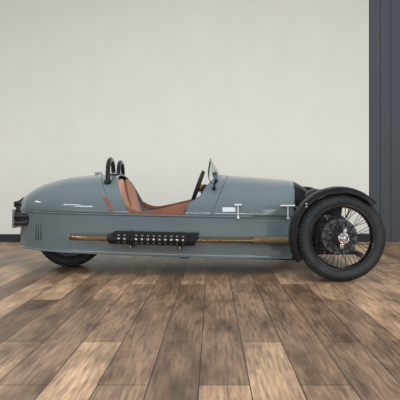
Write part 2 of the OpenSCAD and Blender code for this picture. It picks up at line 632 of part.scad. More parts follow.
// Chassis and front suspension
rail_y = 225;
rail_z = sill_z(front_x) + 40;
top_rail_z = front_tyre_r + 118;
post_x = [front_x - 80, front_x + 85];
bar_x = engine_x + 180;
low_ball = [front_x, pin_y, front_tyre_r - 137];
high_ball = [front_x, pin_y, front_tyre_r + 125];
bend_x = front_x - 300;
function rail_mid(x) = sill_z(x) - frame_r - rail_drop;
module chassis() color(trim_black) {
  mirrored() {
    rod([bulkhead_x + 40, rail_y, rail_mid(bulkhead_x + 40)], [bend_x, rail_y, rail_mid(bend_x)], frame_r);
    rod([bend_x, rail_y, rail_mid(bend_x)], [post_x[0], rail_y, rail_z], frame_r);
    rod([post_x[0], rail_y, rail_z], [bar_x, rail_y, rail_z], frame_r);
    for (x = post_x) rod([x, rail_y, rail_z], [x, rail_y + 15, top_rail_z], frame_r - 4);
    rod([bend_x + 12, rail_y + 15, top_rail_z], [post_x[1] + 20, rail_y + 15, top_rail_z], frame_r - 3);
    translate([post_x[0], rail_y, rail_z]) sphere(frame_r + 0.4);
    translate([bend_x, rail_y, rail_mid(bend_x)]) sphere(frame_r + 0.4);
    // Jacking pad under the rail
    translate([pad_x - 40, rail_y - 30, pad_z]) cube([80, 60, 12]);
  }
  for (x = [bulkhead_x + 60, pit_front_x + 200]) let (z = rail_mid(x)) rod([x, -rail_y, z], [x, rail_y, z], frame_r - 6);
  rod([bar_x, -rail_y - 150, rail_z], [bar_x, rail_y + 150, rail_z], frame_r + 2);
  // Towing eye
  difference() {
    union() {
      translate([bar_x, -tow_t / 2, rail_z - 16]) cube([tow_off, tow_t, 32]);
      translate([bar_x + tow_off, 0, rail_z]) along_y(-tow_t / 2, tow_t / 2, 24);
    }
    translate([bar_x + tow_off, 0, rail_z]) along_y(-tow_t, tow_t, tow_r);
  }
}
tow_off = 44;
tow_t = 14;
tow_r = 11;
pad_x = pit_front_x;
pad_z = sill_z(pit_front_x) - 2 * frame_r - 8;
module wishbones() color(trim_black) mirrored() {
  for (x = post_x) {
    rod([x, rail_y + frame_r + 1, rail_z + 30], low_ball, 11);
    rod([x, rail_y + 15 + frame_r + 1, top_rail_z - 30], high_ball, 10);
  }
  translate(low_ball + [0, 0, -12]) cylinder(h = 24, r = 20);
  translate(high_ball + [0, 0, -12]) cylinder(h = 24, r = 18);
}
module dampers() mirrored() {
  foot_y = pin_y - 90;
  foot_top = low_ball.z + (rail_z + 30 - low_ball.z) * 90 / (pin_y - rail_y - frame_r - 1) + 12.5;
  a = [front_x, foot_y, foot_top + 6];
  b = [front_x, rail_y + 15 + 31.4, top_rail_z + 12];
  color(trim_black) translate([front_x - 34, foot_y - 12, foot_top]) cube([68, 24, 10]);
  color(bright) rod(a, a + (b - a) * 0.5, 18);
  color(bright) rod(a, b, 9);
  color(bright) translate(b - [25, 0, 0]) rotate([0, 90, 0]) cylinder(h = 50, r = 16);
  color(trim_black) for (i = [0:7]) rod(a + (b - a) * (0.28 + 0.075 * i), a + (b - a) * (0.31 + 0.075 * i), 30);
}
module steering_rack() color(trim_black) {
  rod([rack_x, -280, rack_z], [rack_x, 280, rack_z], 10);
  mirrored() {
    rod([rack_x, 270, rack_z], [front_x - steer_arm, pin_y - 8, arm_z + 22], 9);
    translate([front_x - steer_arm, pin_y - 8, arm_z + 10.5]) cylinder(h = 22, r = 16);
  }
}
rack_x = front_x - 125;
rack_z = crank_z - bell_r - 18;
arm_z = front_tyre_r - 113;

module knuckle(side) color("#303134") translate([front_x, 0, 0]) mirror([0, side < 0 ? 1 : 0, 0]) {
  translate([0, pin_y, low_ball.z + ball_h]) cylinder(h = high_ball.z - low_ball.z - 2 * ball_h, r = 15);
  translate([-20, pin_y - 11, 300]) cube([40, 24, 100]);
  translate([0, 0, front_tyre_r]) along_y(pin_y, wheel_y - hub_half + 18, stub_r);
  rod([0, pin_y, arm_z], [-steer_arm, pin_y - 8, arm_z], 9);
  translate([-steer_arm, pin_y - 8, arm_z - 10]) cylinder(h = 20, r = 17);
  // Guard stays
  for (a = stay_angles) rod([0, pin_y + 5, 390], [guard_dx + (guard_r - 6) * cos(a), wheel_y - guard_w / 2 - stay_r - seat_gap,
    front_tyre_r + guard_dz + (guard_r - 6) * sin(a)], stay_r);
}
stay_r = 6;
stay_angles = [60, 120];
ball_h = 12.5;
stub_r = 15;
hub_half = 48;
guard_t = 5;
guard_dx = -20;
guard_dz = 9;
guard_front = 44;
guard_rear = 211;
module mudguard(side) color(trim_black) translate([front_x + guard_dx, 0, front_tyre_r + guard_dz]) mirror([0, side < 0 ? 1 : 0, 0])
  translate([0, wheel_y, 0]) rotate([90, 0, 0]) rotate(guard_front) rotate_extrude(angle = guard_rear - guard_front, $fn = 96)
    difference() {
      translate([guard_r - 16, -guard_w / 2]) square([16 + guard_t + 16, guard_w]);
      translate([guard_r - 190, 0]) circle(190, $fn = 96);
      difference() {
        translate([guard_r, -guard_w]) square([60, 2 * guard_w]);
        translate([guard_r - 190, 0]) circle(190 + guard_t, $fn = 96);
      }
      translate([guard_r - 100, -guard_w]) square([100 - 30, 2 * guard_w]);
    }

// Front wheel about its own middle, spinning on Y, outer side towards +Y
rim_w = 78;
drum_r = 0.55 * front_rim_r;
module tyre_ring(r, w, rim, bead_r, bead_w) rotate([90, 0, 0]) rotate_extrude($fn = 96) difference() {
  union() {
    translate([r - w / 2, 0]) circle(w / 2);
    translate([bead_r, -bead_w / 2]) square([r - w / 2 - bead_r, bead_w]);
  }
  translate([bead_r - 50, -bead_w]) square([50, 2 * bead_w]);
  for (y = [bead_w / 2, -bead_w / 2 - w]) translate([bead_r - 1, y]) square([rim + 0.5 - bead_r + 1, w]);
  for (y = tread_lanes * w) translate([r - w / 2, 0]) rotate(asin(2 * y / w)) translate([w / 2 - tread_deep, -tread_cut / 2])
    square([tread_deep + 5, tread_cut]);
}
tread_lanes = [-0.3, -0.1, 0.1, 0.3];
tread_deep = 6;
tread_cut = 5;
module wire_wheel_body() {
  color(trim_black) rotate([90, 0, 0]) rotate_extrude($fn = 96) polygon([[front_rim_r - 26, -12], [front_rim_r - 22, -rim_w / 2 + 4],
    [front_rim_r, -rim_w / 2], [front_rim_r, -rim_w / 2 + 5], [front_rim_r - 10.5, -rim_w / 2 + 8], [front_rim_r - 19, -9], [front_rim_r - 19, 9],
    [front_rim_r - 10.5, rim_w / 2 - 8], [front_rim_r, rim_w / 2 - 5], [front_rim_r, rim_w / 2], [front_rim_r - 22, rim_w / 2 - 4], [front_rim_r - 26, 12]]);
  color(trim_black) difference() {
    union() {
      along_y(-hub_half, hub_half + 10, 40);
      along_y(-hub_half, -hub_half + 6, 66);
      along_y(hub_half - 16, hub_half - 10, 52);
      along_y(-hub_half - 20, -hub_half + 1, drum_r);
    }
    along_y(-hub_half - 30, -hub_half + 20, stub_r + 0.05);
    for (y = [-14, -7]) translate([0, -hub_half + y, 0]) rotate([-90, 0, 0]) rotate_extrude() translate([drum_r - 6, 0]) square([20, 3.5]);
  }
  color(trim_black) for (i = [0:spoke_count - 1]) {
    a = 360 * i / spoke_count;
    inner = i % 2 == 0;
    lead = (i % 4 < 2 ? 1 : -1) * (inner ? 34 : 26);
    y0 = inner ? -hub_half + 3 : hub_half - 13;
    r0 = inner ? 60 : 46;
    rod([r0 * cos(a + lead), y0, r0 * sin(a + lead)], [(front_rim_r - 22) * cos(a), inner ? -5 : 5, (front_rim_r - 22) * sin(a)], 2.4);
  }
  color(bright) {
    along_y(hub_half + 9, hub_half + 34, 34);
    along_y(hub_half + 33, hub_half + 44, 22);
    for (a = [78, 258]) rotate([0, -a, 0]) translate([0, hub_half + 25, 0]) rotate([90, 0, 0]) linear_extrude(11) {
      polygon([[20, -13], [62, -12], [62, 12], [20, 13]]);
      translate([66, 0]) circle(12.6);
    }
  }
}
module front_wheel_at(side) translate([front_x, side * wheel_y, front_tyre_r]) mirror([0, side < 0 ? 1 : 0, 0]) children();
module wire_wheel(side) front_wheel_at(side) wire_wheel_body();
module front_tyre(side) color(tyre_black) front_wheel_at(side) tyre_ring(front_tyre_r, front_tyre_w, front_rim_r, front_rim_r - 10, rim_w - 17);

rear_rim_w = 150;
module rear_wheel() translate([rear_x, 0, rear_tyre_r]) {
  color("#3a3b3e") rotate([90, 0, 0]) rotate_extrude($fn = 96) difference() {
    translate([rear_rim_r - 24, -rear_rim_w / 2]) square([24, rear_rim_w]);
    translate([rear_rim_r - 12, -rear_rim_w / 2 + 8]) square([20, rear_rim_w - 16]);
  }
  color("#3a3b3e") difference() {
    union() {
      along_y(-10, 10, rear_rim_r - 23);
      along_y(-60, 60, 48);
    }
    for (a = [0:60:300]) rotate([0, a, 0]) translate([122, 0, 0]) along_y(-20, 20, 34);
    along_y(-70, 70, axle_r + 0.05);
  }
}
axle_r = 14;
module rear_tyre() color(tyre_black) translate([rear_x, 0, rear_tyre_r]) rotate([90, 0, 0]) rotate_extrude($fn = 96) {
  shoulder = 34;
  difference() {
    union() {
      translate([rear_rim_r - 12, -rear_rim_w / 2 + 8.3]) square([60, rear_rim_w - 16.6]);
      translate([rear_rim_r + 6, -rear_tyre_w / 2 + shoulder]) square([rear_tyre_r - rear_rim_r - 6, rear_tyre_w - 2 * shoulder]);
      for (y = [-1, 1]) translate([rear_tyre_r - shoulder, y * (rear_tyre_w / 2 - shoulder)]) circle(shoulder);
      translate([rear_rim_r + 6, -rear_tyre_w / 2]) square([rear_tyre_r - shoulder - rear_rim_r - 6, rear_tyre_w]);
    }
    for (y = tread_lanes * rear_tyre_w * 0.9) translate([rear_tyre_r - tread_deep, y - tread_cut / 2]) square([20, tread_cut]);
  }
}
arm_y = rear_tyre_w / 2 + 24;
module swing_arm() color(trim_black) {
  pivot = [bulkhead_x - 12 - 17 - seat_gap, 0, rear_tyre_r + 10];
  translate([rear_x, 0, rear_tyre_r]) along_y(-arm_y - 20, arm_y + 20, axle_r);
  mirrored() {
    rod([rear_x + 20, arm_y, rear_tyre_r], pivot + [0, arm_y, 0], 15);
    translate([rear_x, arm_y - 17, rear_tyre_r]) along_y(0, 34, 30);
    translate([rear_x, 62, rear_tyre_r]) along_y(0, arm_y - 70, 19);
  }
  translate(pivot) along_y(-arm_half, arm_half, 17);
}
arm_half = half_w(bulkhead_x - 60) - wall - 2;

// Lamps, plate, catches
lamp_y = body_w / 2 - 80;
lamp_z = seam_z(bonnet_x) + 155;
lamp_r = 85;
lamp_x = bonnet_x + cowl_len - 20;
module headlamps() color(trim_black) mirrored() {
  translate([lamp_x, lamp_y, lamp_z]) rotate([0, 90, 0]) rotate_extrude() {
    intersection() {
      translate([0, 10]) scale([1, 1.1]) circle(lamp_r - 4);
      translate([0, -90]) square([lamp_r, 100]);
    }
    translate([0, 9]) square([lamp_r, 16]);
    intersection() {
      translate([0, 25 - 3 * lamp_r + 14]) circle(3 * lamp_r);
      translate([0, 24]) square([lamp_r - 8, 30]);
    }
  }
  p = skin_out(lamp_x - 60, 14, 2.5);
  rod(p, [lamp_x - 20, lamp_y - 20, lamp_z - 50], 11);
}
// The rear of the tub as one block, with the same stations as its walls, moved out by out
module tub_block(out) {
  xs = concat(tail_stations(tail_split_x, 12), [for (x = stations(tail_split_x, tub_front_x, 20)) if (x > tail_split_x + 1) x]);
  pts = [for (x = xs) plan_pt(x, -out)];
  linear_extrude(1000) polygon(concat(pts, [for (i = [len(pts) - 1:-1:0]) [pts[i].x, -pts[i].y]]));
}
module tail_lamps() color(trim_black) mirrored() difference() {
  for (z = [-52, -111]) translate([rear_x - 422, 268, seam_z(rear_x - 318) + z]) rotate([0, 90, 0]) {
    cylinder(h = 130, r = 27);
    cylinder(h = 18, r = 29);
  }
  tub_block(seat_gap);
}
plate_w = 220;
plate_h = 172;
plate_z = seam_z(tail_x) - 179;
module plate_holder() {
  x = tail_x - plate_back;
  color("#dcdcd6") translate([x, -plate_w / 2, plate_z]) cube([plate_t, plate_w, plate_h]);
  color(trim_black) translate([x + plate_t, -60, plate_z + 20]) cube([plate_back - plate_t - 0.4, 120, plate_h - 40]);
  color(trim_black) intersection() {
    translate([hinge_x, 0, hinge_z]) along_y(-leaf_y + leaf_w / 2 + 0.5, leaf_y - leaf_w / 2 - 0.5, 29);
    translate([x + 1, -200, 0]) cube([200, 400, 1000]);
  }
  color(trim_black) translate([hinge_x, 0, hinge_z]) along_y(-leaf_y - leaf_w / 2 - 6, leaf_y + leaf_w / 2 + 6, hinge_pin_r);
  color(trim_black) translate([hinge_x - 12, -40, plate_z + plate_h - 30]) cube([20, 80, hinge_z - plate_z - plate_h + 20]);
}
catch_h = 92;
side_plate_t = 6.6;
catch_r = 5;
module bonnet_catches() color(bright) {
  mirrored() for (c = [[cowl_x + 225, 22], [bonnet_x - 47, 56]]) {
    x = c[0];
    out = x > bonnet_x - blister_len ? blister_out : bead_out;
    y = half_w(x) + out + catch_r + 2 * seat_gap;
    translate([x, y, seam_z(x) - 16]) rotate(-atan2(half_w(x - 5) - half_w(x + 5), 10)) {
      cylinder(h = catch_h + 18, r = catch_r);
      translate([-9, -catch_r, -2]) cube([18, 2 * catch_r + 3, 16]);
      translate([-c[1], 0, catch_h + 18]) rotate([0, 90, 0]) cylinder(h = 2 * c[1], r = catch_r + 1.5);
      for (dx = [-c[1], c[1]]) translate([dx, 0, catch_h + 18]) sphere(catch_r + 4);
    }
  }
  // Blank bright plate on the bonnet's side
  x = cowl_x + 150;
  n = skin_n(x, side_plate_t);
  mirrored() translate(skin_out(x, side_plate_t, 0.5)) rotate([asin(n.z), 0, atan2(n.y, n.x) - 90])
    translate([-55, 0, -18]) cube([110, 3, 36]);
}

chassis();
tub_sides();
tub_tail();
floor();
nose_bulkhead();
boot_tray();
rear_deck();
scuttle();
bonnet();
nose_cowl();
cockpit_rails();
seat_bases();
seat_backs();
dashboard();
tunnel();
steering_column();
roll_hoops();
fuel_cap();
aero_screens();
mirrors();
crankcase();
cylinders();
intake();
exhausts();
heat_shields();
wishbones();
dampers();
headlamps();
tail_lamps();
plate_holder();
bonnet_catches();
swing_arm();
boot_lid();
lid_straps();
steering_wheel();
steering_rack();
knuckle(1);  // knuckle_left
knuckle(-1);  // knuckle_right
mudguard(1);  // mudguard_left
mudguard(-1);  // mudguard_right
wire_wheel(1);  // wire_wheel_left
wire_wheel(-1);  // wire_wheel_right
front_tyre(1);  // tyre_left
front_tyre(-1);  // tyre_right
rear_wheel();
rear_tyre();
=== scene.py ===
from math import asin, copysign, cos, degrees, pi, radians, sin, sqrt

import bmesh
import bpy
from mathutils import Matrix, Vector

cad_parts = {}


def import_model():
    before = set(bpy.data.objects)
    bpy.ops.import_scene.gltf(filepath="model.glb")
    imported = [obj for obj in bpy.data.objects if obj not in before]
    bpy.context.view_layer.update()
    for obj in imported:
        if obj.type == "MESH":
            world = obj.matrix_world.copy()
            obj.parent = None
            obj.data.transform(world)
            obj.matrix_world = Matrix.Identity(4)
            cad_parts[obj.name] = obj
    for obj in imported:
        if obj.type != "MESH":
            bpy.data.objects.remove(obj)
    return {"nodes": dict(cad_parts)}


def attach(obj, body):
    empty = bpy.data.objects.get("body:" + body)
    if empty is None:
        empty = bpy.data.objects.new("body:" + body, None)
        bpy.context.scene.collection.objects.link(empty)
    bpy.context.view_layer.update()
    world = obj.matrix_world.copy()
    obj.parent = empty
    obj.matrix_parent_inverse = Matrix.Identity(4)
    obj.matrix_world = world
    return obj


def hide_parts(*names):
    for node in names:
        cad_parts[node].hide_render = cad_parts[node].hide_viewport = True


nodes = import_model()["nodes"]
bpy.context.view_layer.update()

# Sizes from the part's source, in metres
TYRE_R, TYRE_W, RIM_R = 0.345, 0.104, 0.258
REAR_R, REAR_RIM = 0.312, 0.214
FRONT_X, REAR_X, WHEEL_Y, PIN_Y = 1.245, -1.075, 0.750, 0.655
TAIL_X, BONNET_X, COWL_X = -1.535, 0.925, 0.230
LID_X, PIT_REAR_X, PIT_FRONT_X = -0.587, -0.440, 0.0
WIDEST_X, ROUND_X, DOME_X = -0.160, -1.0, -0.650
HALF_W, NOSE_IN, TAIL_IN = 0.520, 0.100, 0.160
CROWN, CROWN_RISE, CROWN_FALL = 0.333, 0.022, 0.036
SEAM_Z, SEAM_FALL, SILL_Z, SILL_FALL = 0.503, 0.0214, 0.154, 0.0308
SECTION_P, TAIL_P, COWL_LEN = 0.87, 2.15, 0.190
GAP, SKIN, SHUT, WALL = 0.0003, 0.008, 0.003, 0.020
LID_LEAN, LID_P, LID_DRAFT, PIT_LEAN, SCUTTLE_LEAN = 0.170, 1.3, 0.016, 0.165, 0.290
BONNET_LEAN, BONNET_BOW, NOSE_CLOSE, NOSE_P = 0.148, 0.045, 0.26, 1.9
DRIVER_Y = 0.245

# The car's sides and directions
SIDES = ((1, "left"), (-1, "right"))
AHEAD, LEFT, UP = Vector((1, 0, 0)), Vector((0, 1, 0)), Vector((0, 0, 1))


def spow(a, p):
    return copysign(abs(a) ** p, a)


def seam_z(x):
    return SEAM_Z - SEAM_FALL * x


def sill_z(x):
    return SILL_Z - SILL_FALL * x


def closing(x, start):
    return sqrt(max(0.0, 1 - max(0.0, (start - x) / (start - TAIL_X)) ** TAIL_P))


def half_w(x):
    u = max(0.0, (x - WIDEST_X) / (BONNET_X - WIDEST_X))
    v = max(0.0, (WIDEST_X - x) / (WIDEST_X - TAIL_X))
    return (HALF_W - NOSE_IN * u * u - TAIL_IN * v * v) * closing(x, ROUND_X)


def nose_close(x):
    return 1 - NOSE_CLOSE * max(0.0, (x - BONNET_X) / COWL_LEN) ** NOSE_P


def crown(x):
    u = max(0.0, (x - COWL_X - 0.080) / (BONNET_X - COWL_X - 0.080))
    share = min(1.0, max(0.0, (x - PIT_REAR_X) / (PIT_FRONT_X + 0.200 - PIT_REAR_X)))
    return (CROWN + CROWN_RISE * share - CROWN_FALL * u) * closing(x, DOME_X) * nose_close(x)


def skin(x, t):
    """The upper body's outer face at x, t degrees round the section from the left seam."""
    c = cos(radians(t))
    s = sin(radians(t))
    y = half_w(x) * nose_close(x) * spow(c, SECTION_P)
    return Vector((x, y, seam_z(x) + GAP + crown(x) * spow(s, SECTION_P)))


def skin_n(x, t):
    n = (skin(x, t + 0.5) - skin(x, t - 0.5)).cross(skin(x + 0.0005, t) - skin(x - 0.0005, t))
    return n.normalized()


def skin_out(x, t, out):
    return skin(x, t) + out * skin_n(x, t)


def on_side(t, side):
    return t if side > 0 else 180 - t


def rise(t):
    return abs(sin(radians(t))) ** SECTION_P


def lid_edge(t):
    return LID_X - LID_LEAN * rise(t) ** LID_P


def lid_edge_in(t):
    """The edge on the panels' inner face, cut straight up and down so that the lid lifts clear."""
    x = lid_edge(t)
    q = min(1.0, abs(skin_out(x, t, -SKIN).y) / half_w(x))
    return LID_X - LID_LEAN * ((1 - q ** (2 / SECTION_P)) ** (SECTION_P / 2)) ** LID_P


def pit_rear_edge(t):
    return PIT_REAR_X - PIT_LEAN * rise(t) ** 0.85


def pit_front_edge(t):
    return PIT_FRONT_X + SCUTTLE_LEAN * rise(t) ** 1.35


def scuttle_edge(t):
    """The scuttle's rear edge: up along the rail's end, forward over its top, then up to the crown."""
    stops = ((0.0, 0.006), (0.30, 0.050), (0.37, 0.100), (0.48, 0.148), (0.69, 0.194), (1.0, SCUTTLE_LEAN))
    r = rise(t)
    for (r0, x0), (r1, x1) in zip(stops, stops[1:]):
        if r <= r1 + 1e-9:
            break
    return PIT_FRONT_X + x0 + (x1 - x0) * (r - r0) / (r1 - r0)


def bonnet_edge(t):
    return COWL_X + BONNET_LEAN * rise(t)


def bonnet_front(t):
    return BONNET_X + BONNET_BOW * rise(t)


# Materials
def new_mat(name):
    mat = bpy.data.materials.new(name)
    mat.use_nodes = True
    tree = mat.node_tree
    return mat, tree, tree.nodes["Principled BSDF"]


def plug(tree, slot, value):
    """Feeds an input with a node's output, a colour or a plain value."""
    if isinstance(value, bpy.types.NodeSocket):
        tree.links.new(value, slot)
    elif slot.type == "RGBA":
        slot.default_value = (*value, 1)
    else:
        slot.default_value = value


def fill(tree, n, **values):
    """Feeds a node's inputs, with _ for the spaces in their names; other names are its settings."""
    for key, value in values.items():
        slot = n.inputs.get(key.replace("_", " "))
        if slot is None:
            setattr(n, key, value)
        else:
            plug(tree, slot, value)
    return n


def node(tree, kind, **values):
    return fill(tree, tree.nodes.new(kind), **values)


def ramp(tree, source, stops):
    r = node(tree, "ShaderNodeValToRGB")
    els = r.color_ramp.elements
    while len(els) < len(stops):
        els.new(0.5)
    for el, (pos, col) in zip(els, stops):
        el.position = pos
        el.color = (*col, 1)
    tree.links.new(source, r.inputs[0])
    return r.outputs[0]


def place(tree):
    return node(tree, "ShaderNodeTexCoord").outputs["Object"]


def along(tree, vec, axis):
    return node(tree, "ShaderNodeSeparateXYZ", Vector=vec).outputs[axis]


def coords(tree, scale=(1, 1, 1), rot=(0, 0, 0)):
    return node(tree, "ShaderNodeMapping", Vector=place(tree), Scale=scale, Rotation=rot).outputs[0]


def noise(tree, vec, scale, detail=4, rough=0.5):
    n = node(tree, "ShaderNodeTexNoise", Vector=vec, Scale=scale, Detail=detail, Roughness=rough)
    return n.outputs["Fac"]


def bump(tree, bsdf, height, strength, distance, chain=None):
    b = node(tree, "ShaderNodeBump", Height=height, Strength=strength, Distance=distance)
    if chain is not None:
        plug(tree, b.inputs["Normal"], chain)
    plug(tree, bsdf.inputs["Normal"], b.outputs[0])
    return b.outputs[0]


def math_node(tree, op, *values):
    m = node(tree, "ShaderNodeMath", operation=op)
    for slot, value in zip(m.inputs, values):
        plug(tree, slot, value)
    return m.outputs[0]


def mix(tree, fac, a, b, blend="MIX"):
    m = node(tree, "ShaderNodeMix", data_type="RGBA", blend_type=blend)
    for k, value in ((0, fac), (6, a), (7, b)):
        plug(tree, m.inputs[k], value)
    return m.outputs[2]


def times(tree, a, b):
    return mix(tree, 1.0, a, b, "MULTIPLY")


def shader_mix(tree, fac, first, second):
    """Blends two shaders into the material's output."""
    blend = node(tree, "ShaderNodeMixShader")
    for slot, value in zip(blend.inputs, (fac, first.outputs[0], second.outputs[0])):
        plug(tree, slot, value)
    out = next(n for n in tree.nodes if n.type == "OUTPUT_MATERIAL")
    plug(tree, out.inputs["Surface"], blend.outputs[0])


def scaled(colour, k):
    return tuple(c * k for c in colour)


def grey(level):
    return (level,) * 3


def paint_mat(name="blue_grey_paint", low=(0.089, 0.120, 0.134), high=(0.099, 0.132, 0.146)):
    mat, tree, b = new_mat(name)
    v = coords(tree)
    tone = ramp(tree, noise(tree, v, 2.2, 3), [(0.3, low), (0.7, high)])
    fill(tree, b, Base_Color=tone, Roughness=0.38, Coat_Weight=1.0, Coat_Roughness=0.045, Coat_IOR=1.55)
    bump(tree, b, noise(tree, v, 260, 2), 0.03, 0.0005)
    return mat


def black_mat(name, rough, coat, tint=(0.012, 0.012, 0.013), grain=420, depth=0.05, shine=0.5):
    mat, tree, b = new_mat(name)
    v = coords(tree)
    tone = ramp(tree, noise(tree, v, 9, 5), [(0.3, tint), (0.75, scaled(tint, 1.7))])
    r = ramp(tree, noise(tree, v, 30, 4), [(0.3, grey(rough * 0.8)), (0.7, grey(rough * 1.25))])
    fill(tree, b, Base_Color=tone, Roughness=r, Coat_Weight=coat, Coat_Roughness=0.08,
         Specular_IOR_Level=shine)
    bump(tree, b, noise(tree, v, grain, 3), depth, 0.0006)
    return mat


def leather_mat(name="tan_leather", base=(0.182, 0.070, 0.037)):
    mat, tree, b = new_mat(name)
    v = coords(tree)
    stops = [(0.25, scaled(base, 0.62)), (0.5, base), (0.8, scaled(base, 1.25))]
    fill(tree, b, Base_Color=ramp(tree, noise(tree, v, 7, 6, 0.6), stops), Roughness=0.46, Sheen_Weight=0.12)
    cells = node(tree, "ShaderNodeTexVoronoi", Vector=v, Scale=420.0, feature="DISTANCE_TO_EDGE")
    grain = bump(tree, b, cells.outputs["Distance"], 0.32, 0.0009)
    bump(tree, b, noise(tree, v, 24, 5), 0.16, 0.004, grain)
    return mat


def metal_mat(name, colour, rough, stretch=(1, 1, 1), contrast=0.25, grain=0.04):
    mat, tree, b = new_mat(name)
    v = coords(tree, stretch)
    tone = ramp(tree, noise(tree, v, 18, 6, 0.6), [(0.25, scaled(colour, 1 - contrast)), (0.75, colour)])
    r = ramp(tree, noise(tree, v, 60, 4), [(0.2, grey(rough * 0.7)), (0.8, grey(rough * 1.3))])
    fill(tree, b, Base_Color=tone, Metallic=1.0, Roughness=r)
    bump(tree, b, noise(tree, v, 300, 3), grain, 0.0004)
    return mat


def tyre_mat():
    mat, tree, b = new_mat("tyre_rubber")
    v = coords(tree)
    stops = [(0.3, (0.015, 0.018, 0.020)), (0.75, (0.034, 0.039, 0.042))]
    fill(tree, b, Base_Color=ramp(tree, noise(tree, v, 14, 6, 0.65), stops), Roughness=0.62)
    bump(tree, b, noise(tree, v, 240, 4), 0.22, 0.0006)
    return mat


def glass_mat():
    """Thin clear sheet: see-through, with a reflection, and dark where it is seen edge on."""
    mat, tree, b = new_mat("clear_screen")
    tree.nodes.remove(b)
    facing = node(tree, "ShaderNodeLayerWeight", Blend=0.5).outputs["Facing"]
    stops = [(0.0, grey(0.99)), (0.82, (0.975, 0.985, 0.985)), (0.96, (0.16, 0.18, 0.19))]
    clear = node(tree, "ShaderNodeBsdfTransparent", Color=ramp(tree, facing, stops))
    shine = node(tree, "ShaderNodeBsdfGlossy", Roughness=0.04)
    gloss = noise(tree, coords(tree), 12, 4)
    share = math_node(tree, "MULTIPLY", math_node(tree, "POWER", facing, 3.0), 0.30)
    shader_mix(tree, math_node(tree, "MULTIPLY", share, math_node(tree, "ADD", gloss, 0.1)), clear, shine)
    return mat


def wrap_mat():
    mat, tree, b = new_mat("wrapped_pipe")
    v = coords(tree)
    wave = node(tree, "ShaderNodeTexWave", Vector=v, Scale=30.0, Distortion=0.6, bands_direction="X")
    stops = [(0.3, (0.085, 0.055, 0.022)), (0.7, (0.20, 0.145, 0.07))]
    fill(tree, b, Base_Color=ramp(tree, noise(tree, v, 45, 6, 0.7), stops), Roughness=0.78, Metallic=0.15)
    first = bump(tree, b, wave.outputs["Fac"], 0.5, 0.003)
    bump(tree, b, noise(tree, v, 600, 3), 0.25, 0.001, first)
    return mat


PAINT = paint_mat()
# A darker copy of the body paint: painted shade for the bonnet blisters
BLISTER_SHADE_PAINT = paint_mat("blister_painted_shade", (0.076, 0.103, 0.115), (0.085, 0.114, 0.126))
GLOSS_BLACK = black_mat("gloss_black", 0.22, 0.5, (0.006, 0.006, 0.007), shine=0.4)
SHIELD_BLACK = black_mat("shield_black", 0.32, 0.15, (0.005, 0.005, 0.006), shine=0.35)
GUARD_BLACK = black_mat("guard_black", 0.38, 0.08, (0.005, 0.005, 0.006), shine=0.3)
SATIN_BLACK = black_mat("satin_black", 0.42, 0.1, depth=0.12)
MATT_BLACK = black_mat("matt_black", 0.75, 0.0, grey(0.016), 300, 0.3)
ENGINE = black_mat("engine_coat", 0.5, 0.15, (0.020, 0.020, 0.022), 600, 0.3)
LEATHER = leather_mat()
SEAT_LEATHER = leather_mat("seat_leather", (0.370, 0.178, 0.108))
# Darker leather for the piping, dark also as painted shade along the creases between flutes
PIPING_AND_CREASE_SHADE = leather_mat("piping_and_crease_shade", (0.090, 0.034, 0.018))
CHROME = metal_mat("chrome", (0.82, 0.83, 0.85), 0.06, contrast=0.04)
STEEL = metal_mat("brushed_steel", (0.52, 0.52, 0.53), 0.28, (1, 12, 1))
BRONZE = metal_mat("heat_tinted_pipe", (0.39, 0.305, 0.21), 0.15, (0.25, 1, 1), 0.15, 0.008)
SILVER = metal_mat("silencer_steel", (0.66, 0.65, 0.63), 0.15, (1, 6, 6), 0.10, 0.008)
GOLD = metal_mat("brass_boss", (0.70, 0.48, 0.18), 0.22)
WRAP = wrap_mat()
RUBBER = tyre_mat()
GLASS = glass_mat()
ALLOY = metal_mat("dark_alloy", (0.10, 0.10, 0.11), 0.38)
RED = black_mat("red_cap", 0.4, 0.3, (0.45, 0.02, 0.015))
STEEL_DARK = metal_mat("drum_casting", (0.215, 0.22, 0.25), 0.36, contrast=0.35)
SHADE = black_mat("louvre_shade", 0.5, 0.2, (0.034, 0.044, 0.050))
THREAD = black_mat("stitching", 0.7, 0.0, (0.42, 0.26, 0.16))


def masked_mat(name, first, second, tests):
    """Two finishes (colour, roughness, metallic) on one solid, the second where all tests hold."""
    mat, tree, b = new_mat(name)
    fac = None
    for axis, op, value in tests:
        part = math_node(tree, op, along(tree, place(tree), axis), value)
        fac = part if fac is None else math_node(tree, "MULTIPLY", fac, part)
    rough, metal = (math_node(tree, "MULTIPLY_ADD", fac, second[k] - first[k], first[k]) for k in (1, 2))
    fill(tree, b, Base_Color=mix(tree, fac, first[0], second[0]), Roughness=rough, Metallic=metal)
    bump(tree, b, noise(tree, coords(tree), 420, 3), 0.05, 0.0006)
    return mat


# Planes on the solids where a second finish begins
TAIL_LENS_X, HEAD_LENS_X, PLATE_X, PLATE_TOP_Z = -1.4955, 1.1195, -1.5866, 0.532
GAUGE_X, SIDE_PLATE_X = 0.2985, 0.442
BLACK_FINISH = ((0.014, 0.014, 0.015), 0.22, 0.0)
TAIL_LAMP = masked_mat("tail_lamp", BLACK_FINISH, ((0.30, 0.010, 0.008), 0.10, 0.0),
                       [("X", "LESS_THAN", TAIL_LENS_X)])
HEADLAMP = masked_mat("headlamp", BLACK_FINISH, ((0.72, 0.74, 0.76), 0.07, 0.85),
                      [("X", "GREATER_THAN", HEAD_LENS_X)])
PLATE = masked_mat("plate_and_bracket", BLACK_FINISH, ((0.66, 0.66, 0.62), 0.38, 0.0),
                   [("X", "LESS_THAN", PLATE_X), ("Z", "LESS_THAN", PLATE_TOP_Z)])
GAUGES = masked_mat("dash_and_gauges", (grey(0.016), 0.70, 0.0), ((0.60, 0.60, 0.58), 0.30, 0.3),
                    [("X", "LESS_THAN", GAUGE_X)])
